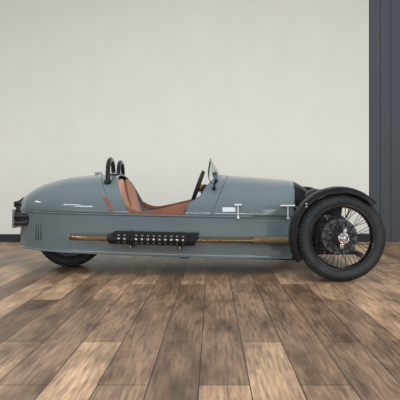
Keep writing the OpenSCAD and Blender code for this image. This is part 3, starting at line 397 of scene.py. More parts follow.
CATCHES = masked_mat("catches_and_side_plate", ((0.86, 0.86, 0.88), 0.24, 0.45),
                     ((0.56, 0.59, 0.64), 0.30, 0.0), [("X", "LESS_THAN", SIDE_PLATE_X)])


# Building helpers
def linked(name, data):
    obj = bpy.data.objects.new(name, data)
    bpy.context.collection.objects.link(obj)
    return obj


def add_mesh(name, shape, mat, body, split=None, smooth=True):
    """A piece made of (points, faces); edges of more than split degrees stay sharp."""
    mesh = bpy.data.meshes.new(name)
    mesh.from_pydata([tuple(v) for v in shape[0]], [], shape[1])
    bm = bmesh.new()
    bm.from_mesh(mesh)
    bmesh.ops.recalc_face_normals(bm, faces=bm.faces)
    bm.to_mesh(mesh)
    bm.free()
    mesh.materials.append(mat)
    for p in mesh.polygons:
        p.use_smooth = smooth
    obj = linked(name, mesh)
    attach(obj, body)
    if split:
        sharp(obj, split)
    return obj


def bevel(obj, width, segments=2, angle=40):
    m = obj.modifiers.new("bevel", "BEVEL")
    m.width = width
    m.segments = segments
    m.limit_method = "ANGLE"
    m.angle_limit = radians(angle)


def sharp(obj, angle):
    m = obj.modifiers.new("split", "EDGE_SPLIT")
    m.split_angle = radians(angle)


def loft(rings, closed_u=False, closed_v=False):
    """Rows of points to quads; closed_v joins the ends of each row, closed_u the last row to the first."""
    nv = len(rings[0])
    verts = [p for ring in rings for p in ring]
    faces = []
    rows = len(rings)
    for i in range(rows if closed_u else rows - 1):
        for j in range(nv if closed_v else nv - 1):
            a, b = i, (i + 1) % rows
            k = (j + 1) % nv
            faces.append((a * nv + j, a * nv + k, b * nv + k, b * nv + j))
    return verts, faces


def solid(rings):
    """Closed rows of points with a face over each end."""
    verts, faces = loft(rings, closed_v=True)
    nv = len(rings[0])
    last = len(verts) - nv
    faces.append(tuple(range(nv)))
    faces.append(tuple(last + j for j in range(nv)))
    return verts, faces


def sheet(rings, nv):
    """Closed rows of nv + 1 front and nv + 1 rear points, with quads over each end."""
    verts, faces = loft(rings, closed_v=True)
    n = 2 * (nv + 1)
    for start in (0, len(verts) - n):
        for j in range(nv):
            a = start + j
            b = start + n - 1 - j
            faces.append((a, a + 1, b - 1, b))
    return verts, faces


def shell(name, nu, nv, at, out0, out1, mat, body, edge=0.0012, at_in=None):
    rings = []
    for i in range(nu + 1):
        outer = [skin_out(*at(i / nu, j / nv), out1) for j in range(nv + 1)]
        inner = [skin_out(*(at_in or at)(i / nu, j / nv), out0) for j in range(nv, -1, -1)]
        rings.append(outer + inner)
    obj = add_mesh(name, sheet(rings, nv), mat, body)
    bevel(obj, edge)
    sharp(obj, 50)
    return obj


def around(centre, r, a, y):
    return Vector((centre[0] + r * cos(a), centre[1] + y, centre[2] + r * sin(a)))


def revolve(profile, segments, centre, side=1):
    """Turns (radius, y) points about a Y axis through centre."""
    turns = [radians(360.0 * i / segments) for i in range(segments)]
    return loft([[around(centre, r, a, side * y) for r, y in profile] for a in turns], closed_u=True)


def mirrored(profile):
    return [(r, -y) for r, y in reversed(profile)]


def tube(path, radius, sides):
    """Round tube through points; radius is a number or one for each point."""
    radii = radius if isinstance(radius, (list, tuple)) else [radius] * len(path)
    turns = [2 * pi * k / sides for k in range(sides)]
    rings = []
    up = None
    for i, p in enumerate(path):
        d = (path[min(i + 1, len(path) - 1)] - path[max(i - 1, 0)]).normalized()
        if up is None:
            up = d.orthogonal().normalized()
        up = (up - d * up.dot(d)).normalized()
        side = d.cross(up)
        rings.append([p + radii[i] * (cos(a) * up + sin(a) * side) for a in turns])
    return solid(rings)


def screw(seat, out, wall, height, radius, top, sides):
    """A head with a straight wall and a chamfer up to its top's radius."""
    return tube([seat, seat + wall * out, seat + height * out], [radius, radius, top], sides)


def join_parts(parts):
    verts = []
    faces = []
    for v, f in parts:
        base = len(verts)
        verts += list(v)
        faces += [tuple(i + base for i in face) for face in f]
    return verts, faces


def smooth_node(name, mat):
    obj = nodes[name]
    obj.data.materials.clear()
    obj.data.materials.append(mat)
    for p in obj.data.polygons:
        p.use_smooth = True
    weld = obj.modifiers.new("weld", "WELD")
    weld.merge_threshold = 0.00002
    sharp(obj, 30)


def between(a, b, u):
    return a + (b - a) * u


def turn_at(height, z, low, high):
    """The turn between low and high at which a height that rises with it reaches z."""
    for _ in range(24):
        t = (low + high) / 2
        if height(t) < z:
            low = t
        else:
            high = t
    return low


# Upper panels, finer than the solids they stand for
def strip(rear, front):
    """The panel between two edges, each an x that follows the turn round the section."""
    def at(u, v):
        t = 0.01 + 179.98 * v
        return between(rear(t), front(t), u), t

    return at


def lid_at(u, v, edge_of=lid_edge, draft=0.0):
    t = 0.3 + 179.4 * v
    edge = edge_of(t) - SHUT - draft
    return edge - (edge - TAIL_X - 0.004) * sin(pi / 2 * u), t


def blister_at(side):
    def at(u, v):
        t = 1 + 13 * v * min(1.0, (2.6 * u) ** 1.2)
        return BONNET_X - 0.350 * (1 - u) + 0.004 * v, on_side(t, side)

    return at


def strap_at(side):
    def at(u, v):
        t = 3.0 + 18 * v
        return lid_edge(t) - 0.038 + 0.034 * u + 0.020 * (1 - v), on_side(t, side)

    return at


def hinge_leaf(side):
    """Lid hinge: an eye on the pin and a leaf that runs up under the lid's rear edge."""
    half, bore, eye = 0.012, 0.00605, 0.014
    hx, hz = TAIL_X - 0.032, seam_z(TAIL_X) + 0.040
    x, y = TAIL_X + 0.034, side * 0.078
    z = seam_z(x) + crown(x) * 0.93
    leaf = ((hx - 0.003, hz + 0.013), (x + 0.014, z + 0.020),
            (x + 0.020, z + 0.014), (hx + 0.013, hz + 0.002))
    arm = solid([[Vector((px, yy, pz)) for px, pz in leaf] for yy in (y - half, y + half)])
    ring = [(bore, -half), (eye, -half), (eye, half), (bore, half), (bore, -half)]
    return join_parts([arm, revolve(ring, 36, (hx, y, hz))])


def panels():
    lid = shell("boot_lid_skin", 60, 90, lid_at, -SKIN, 0, PAINT, "boot_lid",
                at_in=lambda u, v: lid_at(u, v, lid_edge_in, LID_DRAFT))
    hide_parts("boot_lid")
    leaves = join_parts([hinge_leaf(1), hinge_leaf(-1)])
    add_mesh("lid_hinge_leaves", leaves, GLOSS_BLACK, "boot_lid", 40)
    deck = shell("rear_deck_skin", 20, 96, strip(lid_edge, pit_rear_edge), -SKIN, 0, PAINT, "body",
                 at_in=strip(lid_edge_in, pit_rear_edge))
    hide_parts("rear_deck")
    cowl = shell("scuttle_skin", 24, 96, strip(scuttle_edge, bonnet_edge), -SKIN, 0, PAINT, "body")
    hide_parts("scuttle")
    hood_at = strip(lambda t: bonnet_edge(t) + SHUT, bonnet_front)
    hood = shell("bonnet_skin", 40, 96, hood_at, -SKIN, 0, PAINT, "body")
    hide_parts("bonnet")
    for side, tag in SIDES:
        # the blisters take the darker paint as painted shade
        shell("bonnet_blister_" + tag, 36, 10, blister_at(side), GAP, 0.014, BLISTER_SHADE_PAINT, "body",
              0.006)
    nose_at = strip(lambda t: bonnet_front(t) + 0.0005, lambda t: BONNET_X + COWL_LEN)
    nose = shell("nose_cowl_skin", 24, 96, nose_at, -SKIN, 0, GUARD_BLACK, "body")
    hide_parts("nose_cowl")


def tub_outline():
    """Plan of the tub from the left front round the tail to the right front, with outward normals."""
    front, straight, turn = 0.915, 1.855, 0.595
    stations = [front - straight * i / 110 for i in range(110)]
    stations += [TAIL_X + turn * (1 - cos(radians(90 * (1 - i / 30)))) for i in range(31)]
    half = [Vector((x, half_w(x))) for x in stations]
    line = half + [Vector((p.x, -p.y)) for p in reversed(half[:-1])]
    out = []
    for i, p in enumerate(line):
        d = (line[min(i + 1, len(line) - 1)] - line[max(i - 1, 0)]).normalized()
        out.append((p, Vector((d.y, -d.x))))
    return out


def tub():
    """Sides and tail in one skin: a lip along the sill, a groove and a bead along the seam."""
    lip = [(0.0, 0.0), (-0.0032, 0.0015), (-0.0045, 0.005), (-0.0035, 0.0085), (-0.0008, 0.0105), (0, 0.013)]
    bead = [(-0.0025 - 0.0035 * sin(pi * k / 8), -0.014 + 0.0135 * k / 8) for k in range(9)]
    rings = []
    for p, n in tub_outline():
        z0 = sill_z(p.x)
        z1 = seam_z(p.x)
        profile = [(WALL, z0)] + [(inset, z0 + dz) for inset, dz in lip]
        profile += [(0, z0 + 0.013 + (z1 - z0 - 0.031) * k / 10) for k in range(1, 11)]
        profile += [(0.0025, z1 - 0.0175), (0.0025, z1 - 0.015)]
        profile += [(inset, z1 + dz) for inset, dz in bead]
        profile += [(0.002, z1), (WALL, z1)]
        rings.append([Vector((p.x - inset * n.x, p.y - inset * n.y, z)) for inset, z in profile])
    obj = add_mesh("tub_skin", solid(rings), PAINT, "body", 38)
    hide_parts("tub_sides", "tub_tail")


def louvres():
    """Three round ribs on each side of the tail, each with a dark strip of painted shade behind it."""
    drop, length, radius = 0.240, 0.155, 0.008
    ends = [radians(88 - 88 * k / 5) for k in range(6)]
    radii = [radius * cos(a) for a in ends]
    ribs = []
    shade_strips = []
    for side in (1, -1):
        for back in (0.210, 0.184, 0.158):
            x = REAR_X - back
            low = Vector((x, side * (half_w(x) + GAP), seam_z(x) - drop))
            path = [low - radius * sin(a) * UP for a in ends]
            path += [low * 2 + length * UP - p for p in reversed(path)]
            ribs.append(tube(path, radii + radii[::-1], 20))
            # a dark strip of painted shade just behind the rib
            x += 0.011
            foot = Vector((x, side * half_w(x), seam_z(x) - drop))
            shade_strips.append(tube([foot, foot + 0.150 * UP], 0.0048, 12))
    add_mesh("tail_louvres", join_parts(ribs), PAINT, "body")
    add_mesh("louvre_shade_strips", join_parts(shade_strips), SHADE, "body")


panels()
tub()
louvres()


# Tyres with block treads
def front_tyre(side, tag):
    centre = (FRONT_X, side * WHEEL_Y, TYRE_R)
    half = TYRE_W / 2
    pitch = 66
    rows = [radians(-139 + 278 * k / 24) for k in range(25)]
    # Share of the pitch, and the depths cut there in the middle and in the shoulder blocks
    steps = ((0.0, 0.0065, 0.0075), (0.06, 0.0, 0.0075), (0.60, 0.0, 0.0), (0.66, 0.0065, 0.0075))
    rings = []
    for i in range(pitch):
        for f, middle, shoulder in steps:
            ring = []
            for turn in rows:
                c, s = cos(turn), sin(turn)
                across = abs(s)
                r = TYRE_R - half + half * c
                if c > 0.25:
                    groove = 0.0 if across < 0.13 else middle if across < 0.48 else shoulder
                    if 0.10 < across < 0.17 or 0.46 < across < 0.52:
                        groove = max(groove, 0.006)
                    r -= groove
                else:
                    r += 0.0012 * sin(across * 40)
                if across < 0.9 and c < 0:
                    r = max(r, RIM_R - 0.002)
                a = 2 * pi * (i + f + (0.5 if across > 0.48 else 0.0)) / pitch
                ring.append(around(centre, r, a, side * half * 0.985 * s))
            rings.append(ring)
    obj = add_mesh("tread_" + tag, loft(rings, closed_u=True), RUBBER, "wheel_" + tag, 32)
    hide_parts("tyre_" + tag)


def rear_tyre():
    wall = [(REAR_RIM - 0.004, -0.066), (REAR_RIM + 0.010, -0.080), (REAR_RIM + 0.030, -0.091),
            (REAR_R - 0.048, -0.0948), (REAR_R - 0.028, -0.091), (REAR_R - 0.012, -0.080)]
    lane = [-0.074, -0.060, -0.058, -0.052, -0.050, -0.022, -0.020, -0.014, -0.012]
    deep = [0.003, 0.001, 0.008, 0.008, 0.0005, 0.0003, 0.008, 0.008, 0.0]
    right = wall + [(REAR_R - d, y) for y, d in zip(lane, deep)]
    full = right + mirrored(right)
    pitch = 54
    rings = []
    for i in range(pitch):
        for f, cut in ((0, 0.006), (0.07, 0), (0.8, 0), (0.87, 0.006)):
            ring = []
            for r, y in full:
                a = 2 * pi * (i + f + 6.0 * abs(y)) / pitch
                rr = r - (cut if r > REAR_R - 0.0035 and abs(y) > 0.02 else 0)
                ring.append(around((REAR_X, 0, REAR_R), rr, a, y))
            rings.append(ring)
    obj = add_mesh("rear_tyre_tread", loft(rings, closed_u=True), RUBBER, "wheel_rear", 32)
    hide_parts("rear_tyre")


for side, tag in SIDES:
    front_tyre(side, tag)
rear_tyre()


# Wire wheels; profiles are (radius, y) points, y outwards from the wheel's middle
RIM_HALF = 0.039
RIM_FACE = [(RIM_R + 0.0004, RIM_HALF - 0.003), (RIM_R - 0.006, RIM_HALF - 0.006),
            (RIM_R - 0.012, RIM_HALF - 0.009), (RIM_R - 0.016, 0.020), (RIM_R - 0.021, 0.012)]
RIM_BACK = [(RIM_R - 0.027, 0.012), (RIM_R - 0.023, 0.022), (RIM_R - 0.020, RIM_HALF - 0.006),
            (RIM_R - 0.012, RIM_HALF - 0.002), (RIM_R - 0.004, RIM_HALF)]
RIM = ([(RIM_R, RIM_HALF - 0.001)] + RIM_FACE + mirrored(RIM_FACE) + [(RIM_R, -RIM_HALF)]
       + mirrored(RIM_BACK) + RIM_BACK + [(RIM_R, RIM_HALF - 0.001)])
HUB = [(0.0, 0.058), (0.036, 0.058), (0.040, 0.054), (0.040, 0.040), (0.053, 0.038), (0.053, 0.031),
       (0.038, 0.028), (0.034, 0.0), (0.038, -0.030), (0.066, -0.040), (0.067, -0.047), (0.030, -0.048)]
DRUM = [(0.030, -0.047), (0.066, -0.0465), (0.070, -0.049), (0.110, -0.049), (0.114, -0.046),
        (0.139, -0.046), (0.142, -0.049), (0.142, -0.053), (0.138, -0.055), (0.138, -0.058), (0.142, -0.060),
        (0.142, -0.065), (0.136, -0.068), (0.050, -0.068)]
SPINNER = [(0.0, 0.0935), (0.012, 0.0925), (0.022, 0.089), (0.028, 0.085), (0.030, 0.0815),
           (0.033, 0.0805), (0.036, 0.082), (0.041, 0.081), (0.0445, 0.077), (0.0455, 0.070), (0.044, 0.064),
           (0.040, 0.0575), (0.030, 0.057)]
SPOKES, FINS = 48, 36


def spokes(c, side):
    """Crossed spokes to the hub's inner and outer flange by turns, then their nipples."""
    wires = []
    nipples = []
    for i in range(SPOKES):
        a = 360 * i / SPOKES
        inner = i % 2 == 0
        lead = (1 if i % 4 < 2 else -1) * (32 if inner else 24)
        r0, y0, y1 = (0.061, -0.045, -0.006) if inner else (0.048, 0.035, 0.006)
        p = around(c, r0, radians(a + lead), side * y0)
        q = around(c, RIM_R - 0.022, radians(a), side * y1)
        wires.append(tube([p, p.lerp(q, 0.5), q], 0.0024, 8))
        nipples.append(tube([q.lerp(p, 0.085), q.lerp(p, 0.08), q], [0.0022, 0.0036, 0.0036], 8))
    return join_parts(wires + nipples)


def drum_fins(c, side):
    fins = []
    for i in range(FINS):
        a = radians(360 / FINS * i)
        w = Vector((-sin(a), 0, cos(a))) * 0.0028
        rings = []
        for y, k in ((0.0485, 1.0), (0.0425, 0.7)):
            lo, hi = (around(c, r, a, -side * y) for r in (0.072, 0.136))
            rings.append([lo - w * k, hi - w * k, hi + w * k, lo + w * k])
        fins.append(solid(rings))
    return join_parts(fins)


def spinner_ears(c, side):
    turns = [2 * pi * q / 12 for q in range(12)]
    ears = []
    for a in (radians(78), radians(258)):
        w = Vector((-sin(a), 0, cos(a)))
        rings = []
        for f in (k / 10 for k in range(11)):
            wide = 0.0185 * sqrt(max(0.02, 1 - (max(0, f - 0.45) / 0.55) ** 2)) * (0.8 + 0.5 * f * (1 - f))
            thick = 0.0058 * (1 - 0.35 * f) * sqrt(max(0.05, 1 - f ** 6))
            mid = around(c, 0.030 + 0.056 * f, a, side * (0.067 + 0.006 * sin(pi * f)))
            rings.append([mid + w * wide * cos(b) + LEFT * side * thick * sin(b) for b in turns])
        ears.append(solid(rings))
    return join_parts(ears)


def wire_wheel(side, tag):
    body = "wheel_" + tag
    c = (FRONT_X, side * WHEEL_Y, TYRE_R)
    rim = add_mesh("rim_" + tag, revolve(RIM, 128, c, side), GLOSS_BLACK, body, 40)
    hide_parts("wire_wheel_" + tag)
    add_mesh("spokes_" + tag, spokes(c, side), SATIN_BLACK, body)
    add_mesh("hub_" + tag, revolve(HUB, 72, c, side), SATIN_BLACK, body, 35)
    add_mesh("brake_" + tag, revolve(DRUM, 96, c, side), STEEL_DARK, body, 35)
    fins = add_mesh("brake_fins_" + tag, drum_fins(c, side), STEEL_DARK, body, smooth=False)
    bevel(fins, 0.0006)
    add_mesh("spinner_" + tag, revolve(SPINNER, 64, c, side), CHROME, body, 40)
    add_mesh("spinner_ears_" + tag, spinner_ears(c, side), CHROME, body)
    seat = Vector((FRONT_X - 0.108, side * (PIN_Y - 0.002), 0.2215))
    cap = screw(seat, -UP, 0.010, 0.014, 0.0115, 0.007, 18)
    add_mesh("joint_cap_" + tag, cap, RED, "knuckle_" + tag)


for side, tag in SIDES:
    wire_wheel(side, tag)


# Exhaust: one smooth pipe on each side
def bez(p, s):
    a = 1 - s
    return a ** 3 * p[0] + 3 * a * a * s * p[1] + 3 * a * s * s * p[2] + s ** 3 * p[3]


SHIELD_R, SILENCER_R, SLEEVE_R, PIPE_R, WRAP_R = 0.060, 0.046, 0.0535, 0.024, 0.030
PIPE_Y = HALF_W + SHIELD_R + 0.004
ENGINE_X, PORT_Z, FIN_R = FRONT_X + 0.085, 0.620, 0.092
SILENCER_X0 = PIT_REAR_X - 0.170


def pipe_at(x):
    return Vector((x, PIPE_Y, 0.308 - 0.0246 * x))


def exhaust(side, tag):
    ex = FRONT_X - 0.385
    port_x = ENGINE_X - FIN_R
    end = Vector((ex, half_w(ex) + WRAP_R + 0.010, pipe_at(ex).z))
    knots = [Vector((port_x - 0.030, 0.226, PORT_Z)), Vector((port_x - 0.120, 0.345, PORT_Z + 0.006)),
             Vector((FRONT_X - 0.215, end.y + 0.036, end.z + 0.016)), end]
    flip = Vector((1, side, 1))
    mid = pipe_at(PIT_FRONT_X + 0.150)
    wrap_end = end.lerp(mid, 0.42)
    sil0 = pipe_at(SILENCER_X0)
    sil = pipe_at(SILENCER_X0 + 0.700)
    tip = pipe_at(REAR_X + 0.150)

    def made(name, path, radius, mat, sides=28):
        shape = tube([p * flip for p in path], radius, sides)
        return add_mesh(name + tag, shape, mat, "body", 40)

    head = [bez(knots, i / 24) for i in range(25)]
    wrap = made("header_wrap_", head + [end.lerp(wrap_end, k / 6) for k in range(1, 7)], WRAP_R, WRAP)
    made("wrap_clamp_", [wrap_end.lerp(end, 0.012), wrap_end.lerp(end, 0.04)], WRAP_R + 0.002, BRONZE)
    inner = wrap_end.lerp(end, 0.05)
    knee = mid.lerp(wrap_end, 0.12)
    path = [inner.lerp(knee, k / 6) for k in range(6)]
    path += [bez([knee, mid, mid, mid.lerp(sil, 0.6)], k / 8) for k in range(9)]
    made("pipe_", path + [sil.lerp(sil0, 0.02)], PIPE_R, BRONZE)
    cone = [sil.lerp(sil0, f) for f in (0.0, 0.02, 0.05, 0.95, 0.98, 1.0)]
    made("silencer_", cone, [0.030, 0.040, SILENCER_R, SILENCER_R, 0.040, 0.030], SATIN_BLACK, 40)
    made("silencer_skin_", [sil.lerp(sil0, 0.10), sil0.lerp(sil, 0.12)], SLEEVE_R, SILVER, 40)
    d = (tip - sil0).normalized()
    wide = PIPE_R + 0.003
    path = [sil0 - d * 0.04, sil0.lerp(tip, 0.5), tip - d * 0.002, tip, tip, tip - d * 0.01, tip - d * 0.13]
    made("tail_pipe_", path, [wide] * 3 + [wide - 0.001] + [wide - 0.003] * 3, BRONZE)
    lip = wide + 0.0022
    made("pipe_end_", [tip - d * f for f in (0.007, 0.006, 0.001, 0.0)], [wide, lip, lip, wide], CHROME)
    stub = Vector((port_x - 0.0004, 0.222, PORT_Z))
    made("port_flange_", [stub, stub - 0.042 * AHEAD], WRAP_R + 0.006, WRAP)
    for k, x in enumerate((SILENCER_X0 + 0.190, SILENCER_X0 + 0.590)):
        p = pipe_at(x)
        made("collar_%d_" % k, [p - 0.009 * AHEAD, p + 0.009 * AHEAD], SLEEVE_R + 0.0021, STEEL, 40)
        low = p - 0.064 * UP
        a = Vector((x, half_w(x) + 0.0006, low.z))
        b = low + 0.020 * LEFT
        made("bobbin_%d_" % k, [a, a.lerp(b, 0.93), a.lerp(b, 0.95), b], [0.015, 0.015, 0.0135, 0.012],
             SATIN_BLACK, 24)
        made("bobbin_nut_%d_" % k, [b, b + 0.006 * LEFT, b + 0.008 * LEFT], [0.008, 0.008, 0.006], CHROME, 6)
        made("hanger_%d_" % k, [low, low + 0.028 * UP], 0.012, SATIN_BLACK, 4)
    return wrap


pipes = [exhaust(side, tag) for side, tag in SIDES]
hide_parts("exhausts")


# Seats
SEAT_Z, SEAT_Y = 0.264, 0.434


def deck_limit(z):
    """Half width inside the rear deck at height z, where the seat backs pass under it."""
    x, inset = PIT_REAR_X - PIT_LEAN, -SKIN - 0.014
    return skin_out(x, turn_at(lambda t: skin_out(x, t, inset).z, z, 0.5, 89.5), inset).y


def pad(name, foot, head, thick, side, flutes, depth, limit=None, bow=0.0):
    """A fluted pad between two (x, z) ends of its front face; thick is the way to its rear face."""
    steps, crown_h = 14, 0.012
    nu, nv = 44, steps * flutes
    away = Vector((thick[0], 0, thick[1]))
    n = -away.normalized()
    rings = []
    seams = [[] for _ in range(flutes - 1)]
    for i in range(nu + 1):
        u = i / nu
        x = between(foot[0], head[0], u) - bow * sin(pi * u * u)
        p = Vector((x, 0, between(foot[1], head[1], u)))
        y1 = SEAT_Y if limit is None else min(SEAT_Y, limit(p.z))
        lean_in = min(1.0, max(0.0, (u - 0.10) / 0.55))
        y0 = 0.012 if limit is None else 0.022 + 0.112 * lean_in * lean_in * (3 - 2 * lean_in)
        cut = 0.5 * (SEAT_Y - y1)
        end_u = 1 - abs(2 * u - 1) ** 9
        front = []
        rear = []
        for j in range(nv + 1):
            v = j / nv
            edge = sqrt(max(0.0, end_u * (1 - abs(2 * v - 1) ** 12)))
            y = between(y0, y1, v)
            channel = abs(sin(pi * flutes * v)) ** 0.5
            lift = edge * (crown_h - depth * (1 - channel) * (1 - abs(2 * u - 1) ** 16)) - 0.020 * (1 - edge)
            q = p + n * lift - n * (0.25 * cut if v > 0.5 else 0.0) * (2 * v - 1)
            front.append(Vector((q.x, side * y, q.z)))
            if 0.04 < u < 0.96 and 0 < j < nv and j % steps == 0:
                seams[j // steps - 1].append(front[-1] + 0.001 * n)
            r = p + away * (0.75 + 0.25 * edge)
            rear.append(Vector((r.x, side * y, r.z)))
        rings.append(front + rear[::-1])
    obj = add_mesh(name, sheet(rings, nv), SEAT_LEATHER, "body")
    bevel(obj, 0.008, 3, 50)
    sharp(obj, 65)
    # the piping runs in the creases between flutes; its dark colour is partly painted crease shade
    piping = join_parts([tube(path, 0.0036, 8) for path in seams])
    add_mesh(name + "_piping", piping, PIPING_AND_CREASE_SHADE, "body")
    return obj


for side, tag in SIDES:
    base = pad("seat_base_" + tag, (PIT_REAR_X + 0.030, SEAT_Z - 0.006),
               (PIT_FRONT_X - 0.026, SEAT_Z + 0.036), (0.0, -0.085), side, 7, 0.011)
    back = pad("seat_back_" + tag, (PIT_REAR_X + 0.010, SEAT_Z + 0.020),
               (PIT_REAR_X - 0.124, SEAT_Z + 0.550), (-0.044, -0.010), side, 5, 0.020, deck_limit, 0.016)
    if side > 0:
        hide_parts("seat_bases")
        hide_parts("seat_backs")

# Straps over the lid's edge
for side, tag in SIDES:
    strap = shell("lid_strap_" + tag, 10, 24, strap_at(side), 0.0005, 0.0045, LEATHER, "boot_lid",
                  0.0018)
    if side > 0:
        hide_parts("lid_straps")


# Nodes that keep their solids, with finer materials
KEPT = (
    (LEATHER, "cockpit_rails"), (GLOSS_BLACK, "roll_hoops"), (SHIELD_BLACK, "heat_shields"),
    (HEADLAMP, "headlamps"), (TAIL_LAMP, "tail_lamps"), (PLATE, "plate_holder"), (GAUGES, "dashboard"),
    (CHROME, "fuel_cap"), (CATCHES, "bonnet_catches"), (STEEL, "dampers"), (GLASS, "aero_screens"),
    (ALLOY, "rear_wheel"), (ENGINE, "crankcase cylinders intake"),
    (SATIN_BLACK, "chassis wishbones swing_arm steering_rack knuckle_left knuckle_right"),
    (MATT_BLACK, "floor nose_bulkhead boot_tray tunnel steering_column steering_wheel"))
for mat, names in KEPT:
    for name in names.split():
        smooth_node(name, mat)


# Mudguards: the solid's crowned section with deep rolled sides
def mudguard(side, tag):
    body = "knuckle_" + tag
    c = Vector((FRONT_X - 0.020, side * WHEEL_Y, TYRE_R + 0.009))
    half, low, top, crown_r, thick = 0.071, 0.343, 0.389, 0.195, 0.004
    turns = [radians(44 + 167 * i / 84) for i in range(85)]
    edge = [(low, -half - 0.0005), (0.356, -half), (0.366, -half), (0.3715, -half + 0.0015)]
    across = [-0.066 + 0.132 * k / 12 for k in range(13)]
    outer = edge + [(top - crown_r + sqrt(crown_r ** 2 - y * y), y) for y in across] + mirrored(edge)
    profile = outer + [(max(low, r - thick), y * (half - thick) / half) for r, y in reversed(outer)]
    rings = [[around(c, r, a, y) for r, y in profile] for a in turns]
    obj = add_mesh("mudguard_shell_" + tag, solid(rings), GUARD_BLACK, body, 45)
    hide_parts("mudguard_" + tag)
    bolts = []
    for r, turn in ((0.3655, 136.0), (0.3535, 139.0)):
        seat = around(c, r, radians(turn), side * half)
        bolts.append(screw(seat, side * LEFT, 0.004, 0.006, 0.0085, 0.005, 16))
    add_mesh("mudguard_bolts_" + tag, join_parts(bolts), CHROME, body)
    beads = []
    for y in (-half, half):
        for r, out, radius in ((low, y, 0.0035), (0.3735, y * 0.985, 0.0028)):
            beads.append(tube([around(c, r, a, out) for a in turns], radius, 10))
    add_mesh("mudguard_beads_" + tag, join_parts(beads), GLOSS_BLACK, body)


for side, tag in SIDES:
    mudguard(side, tag)


# Small fittings
def skin_t(x, z, side):
    """Degrees round the section where the skin at x has height z on one side."""
    return on_side(turn_at(lambda t: skin(x, t).z, z, 0.01, 89.9), side)


def stud(x, t, radius, height, out=0.0):
    """A domed stud on the skin."""
    n = skin_n(x, t)
    p = skin_out(x, t, out)
    turns = [radians(90 * k / 5) for k in range(6)]
    path = [p + n * height * (0.3 + 0.7 * sin(a)) for a in turns]
    return tube([p] + path, [radius] + [max(0.0003, radius * cos(a)) for a in turns], 18)


def fittings():
    """Studs on the bonnet and the scuttle, buttons on the leather rails, studs for the straps."""
    bright = []
    buttons = []
    on_lid = []
    for side in (1, -1):
        for x, z in ((1.036, 0.594), (0.957, 0.562), (1.033, 0.556)):
            bright.append(stud(x, skin_t(x, z, side), 0.0075, 0.006))
        for x, z in ((0.049, 0.537), (0.138, 0.537)):
            bright.append(stud(x, skin_t(x, z, side), 0.0042, 0.003))
        for x, z in ((-0.424, 0.527), (-0.030, 0.520)):
            buttons.append(stud(x, skin_t(x, z, side), 0.0105, 0.005, 0.0015))
            bright.append(stud(x, skin_t(x, z, side), 0.004, 0.0055, 0.003))
        on_lid.append(stud(-0.647, on_side(3.4, side), 0.0075, 0.007))
        on_lid.append(stud(-0.611, on_side(5.6, side), 0.0085, 0.005, 0.0045))
    add_mesh("body_studs", join_parts(bright), CHROME, "body")
    add_mesh("rail_buttons", join_parts(buttons), LEATHER, "body")
    add_mesh("strap_studs", join_parts(on_lid), CHROME, "boot_lid")


def rail_top(u):
    """Height of a leather rail above the seam, from its rear end at 0 to its front end at 1."""
    low, dip = 0.27, 0.024
    if u < low:
        return dip + 0.050 * (1 - u / low) ** 2.2
    return dip + 0.086 * ((u - low) / (1 - low)) ** 1.4


def lips():
    """Rolled edges round the cockpit's opening and a line of stitches along each leather rail."""
    turns = [4 + 172 * k / 90 for k in range(91)]
    edges = [tube([skin_out(edge(t), t, -0.002) for t in turns], 0.0042, 12)
             for edge in (pit_rear_edge, scuttle_edge)]
    add_mesh("cockpit_lips", join_parts(edges), PAINT, "body")
    stitches = []
    for side in (1, -1):
        for k in range(56):
            pts = []
            for f in (0.0, 0.62):
                u = (k + f + 1.5) / 59
                t = degrees(asin(((rail_top(u) - 0.009) / CROWN) ** (1 / SECTION_P)))
                x = between(pit_rear_edge(t) + SHUT, pit_front_edge(t) - SHUT, u)
                pts.append(skin_out(x, on_side(t, side), 0.0018))
            stitches.append(tube(pts, 0.0009, 6))
    add_mesh("rail_stitching", join_parts(stitches), THREAD, "body")


def steering_boss():
    """Brass ring round the steering wheel's boss."""
    a = radians(110)
    axis = Vector((sin(a), 0, cos(a)))
    c = Vector((PIT_FRONT_X + 0.098, DRIVER_Y, 0.735))
    ring = tube([c + axis * d for d in (0.012, 0.013, 0.036, 0.037)], [0.0384, 0.04, 0.04, 0.0384], 40)
    add_mesh("steering_boss", ring, GOLD, "steering_wheel", 40)


def skin_z(x, y):
    """Height of the upper skin over a point in plan."""
    c = min(1.0, abs(y) / half_w(x)) ** (1 / SECTION_P)
    return seam_z(x) + crown(x) * sqrt(1 - c * c) ** SECTION_P


def screen_rims():
    """Dark edge round each screen, a disc cut from a leaning cylinder, down to the scuttle."""
    foot_x, foot_z, lean = 0.335, 0.798, radians(30)
    bend, disc = 0.190, 0.1677
    rims = []
    for side in (1, -1):
        path = []
        for k in range(-60, 61):
            a = radians(2.2 * k)
            y = disc * sin(a)
            sag = sqrt(bend * bend - y * y) - bend - 0.0025
            up = 0.050 + disc * cos(a)
            q = Vector((foot_x + sag * cos(lean) - up * sin(lean), side * (DRIVER_Y + y),
                        foot_z + sag * sin(lean) + up * cos(lean)))
            if q.z > skin_z(q.x, q.y) + 0.002:
                path.append(q)
        rims.append(tube(path, 0.003, 10))
    add_mesh("screen_rims", join_parts(rims), SATIN_BLACK, "body")


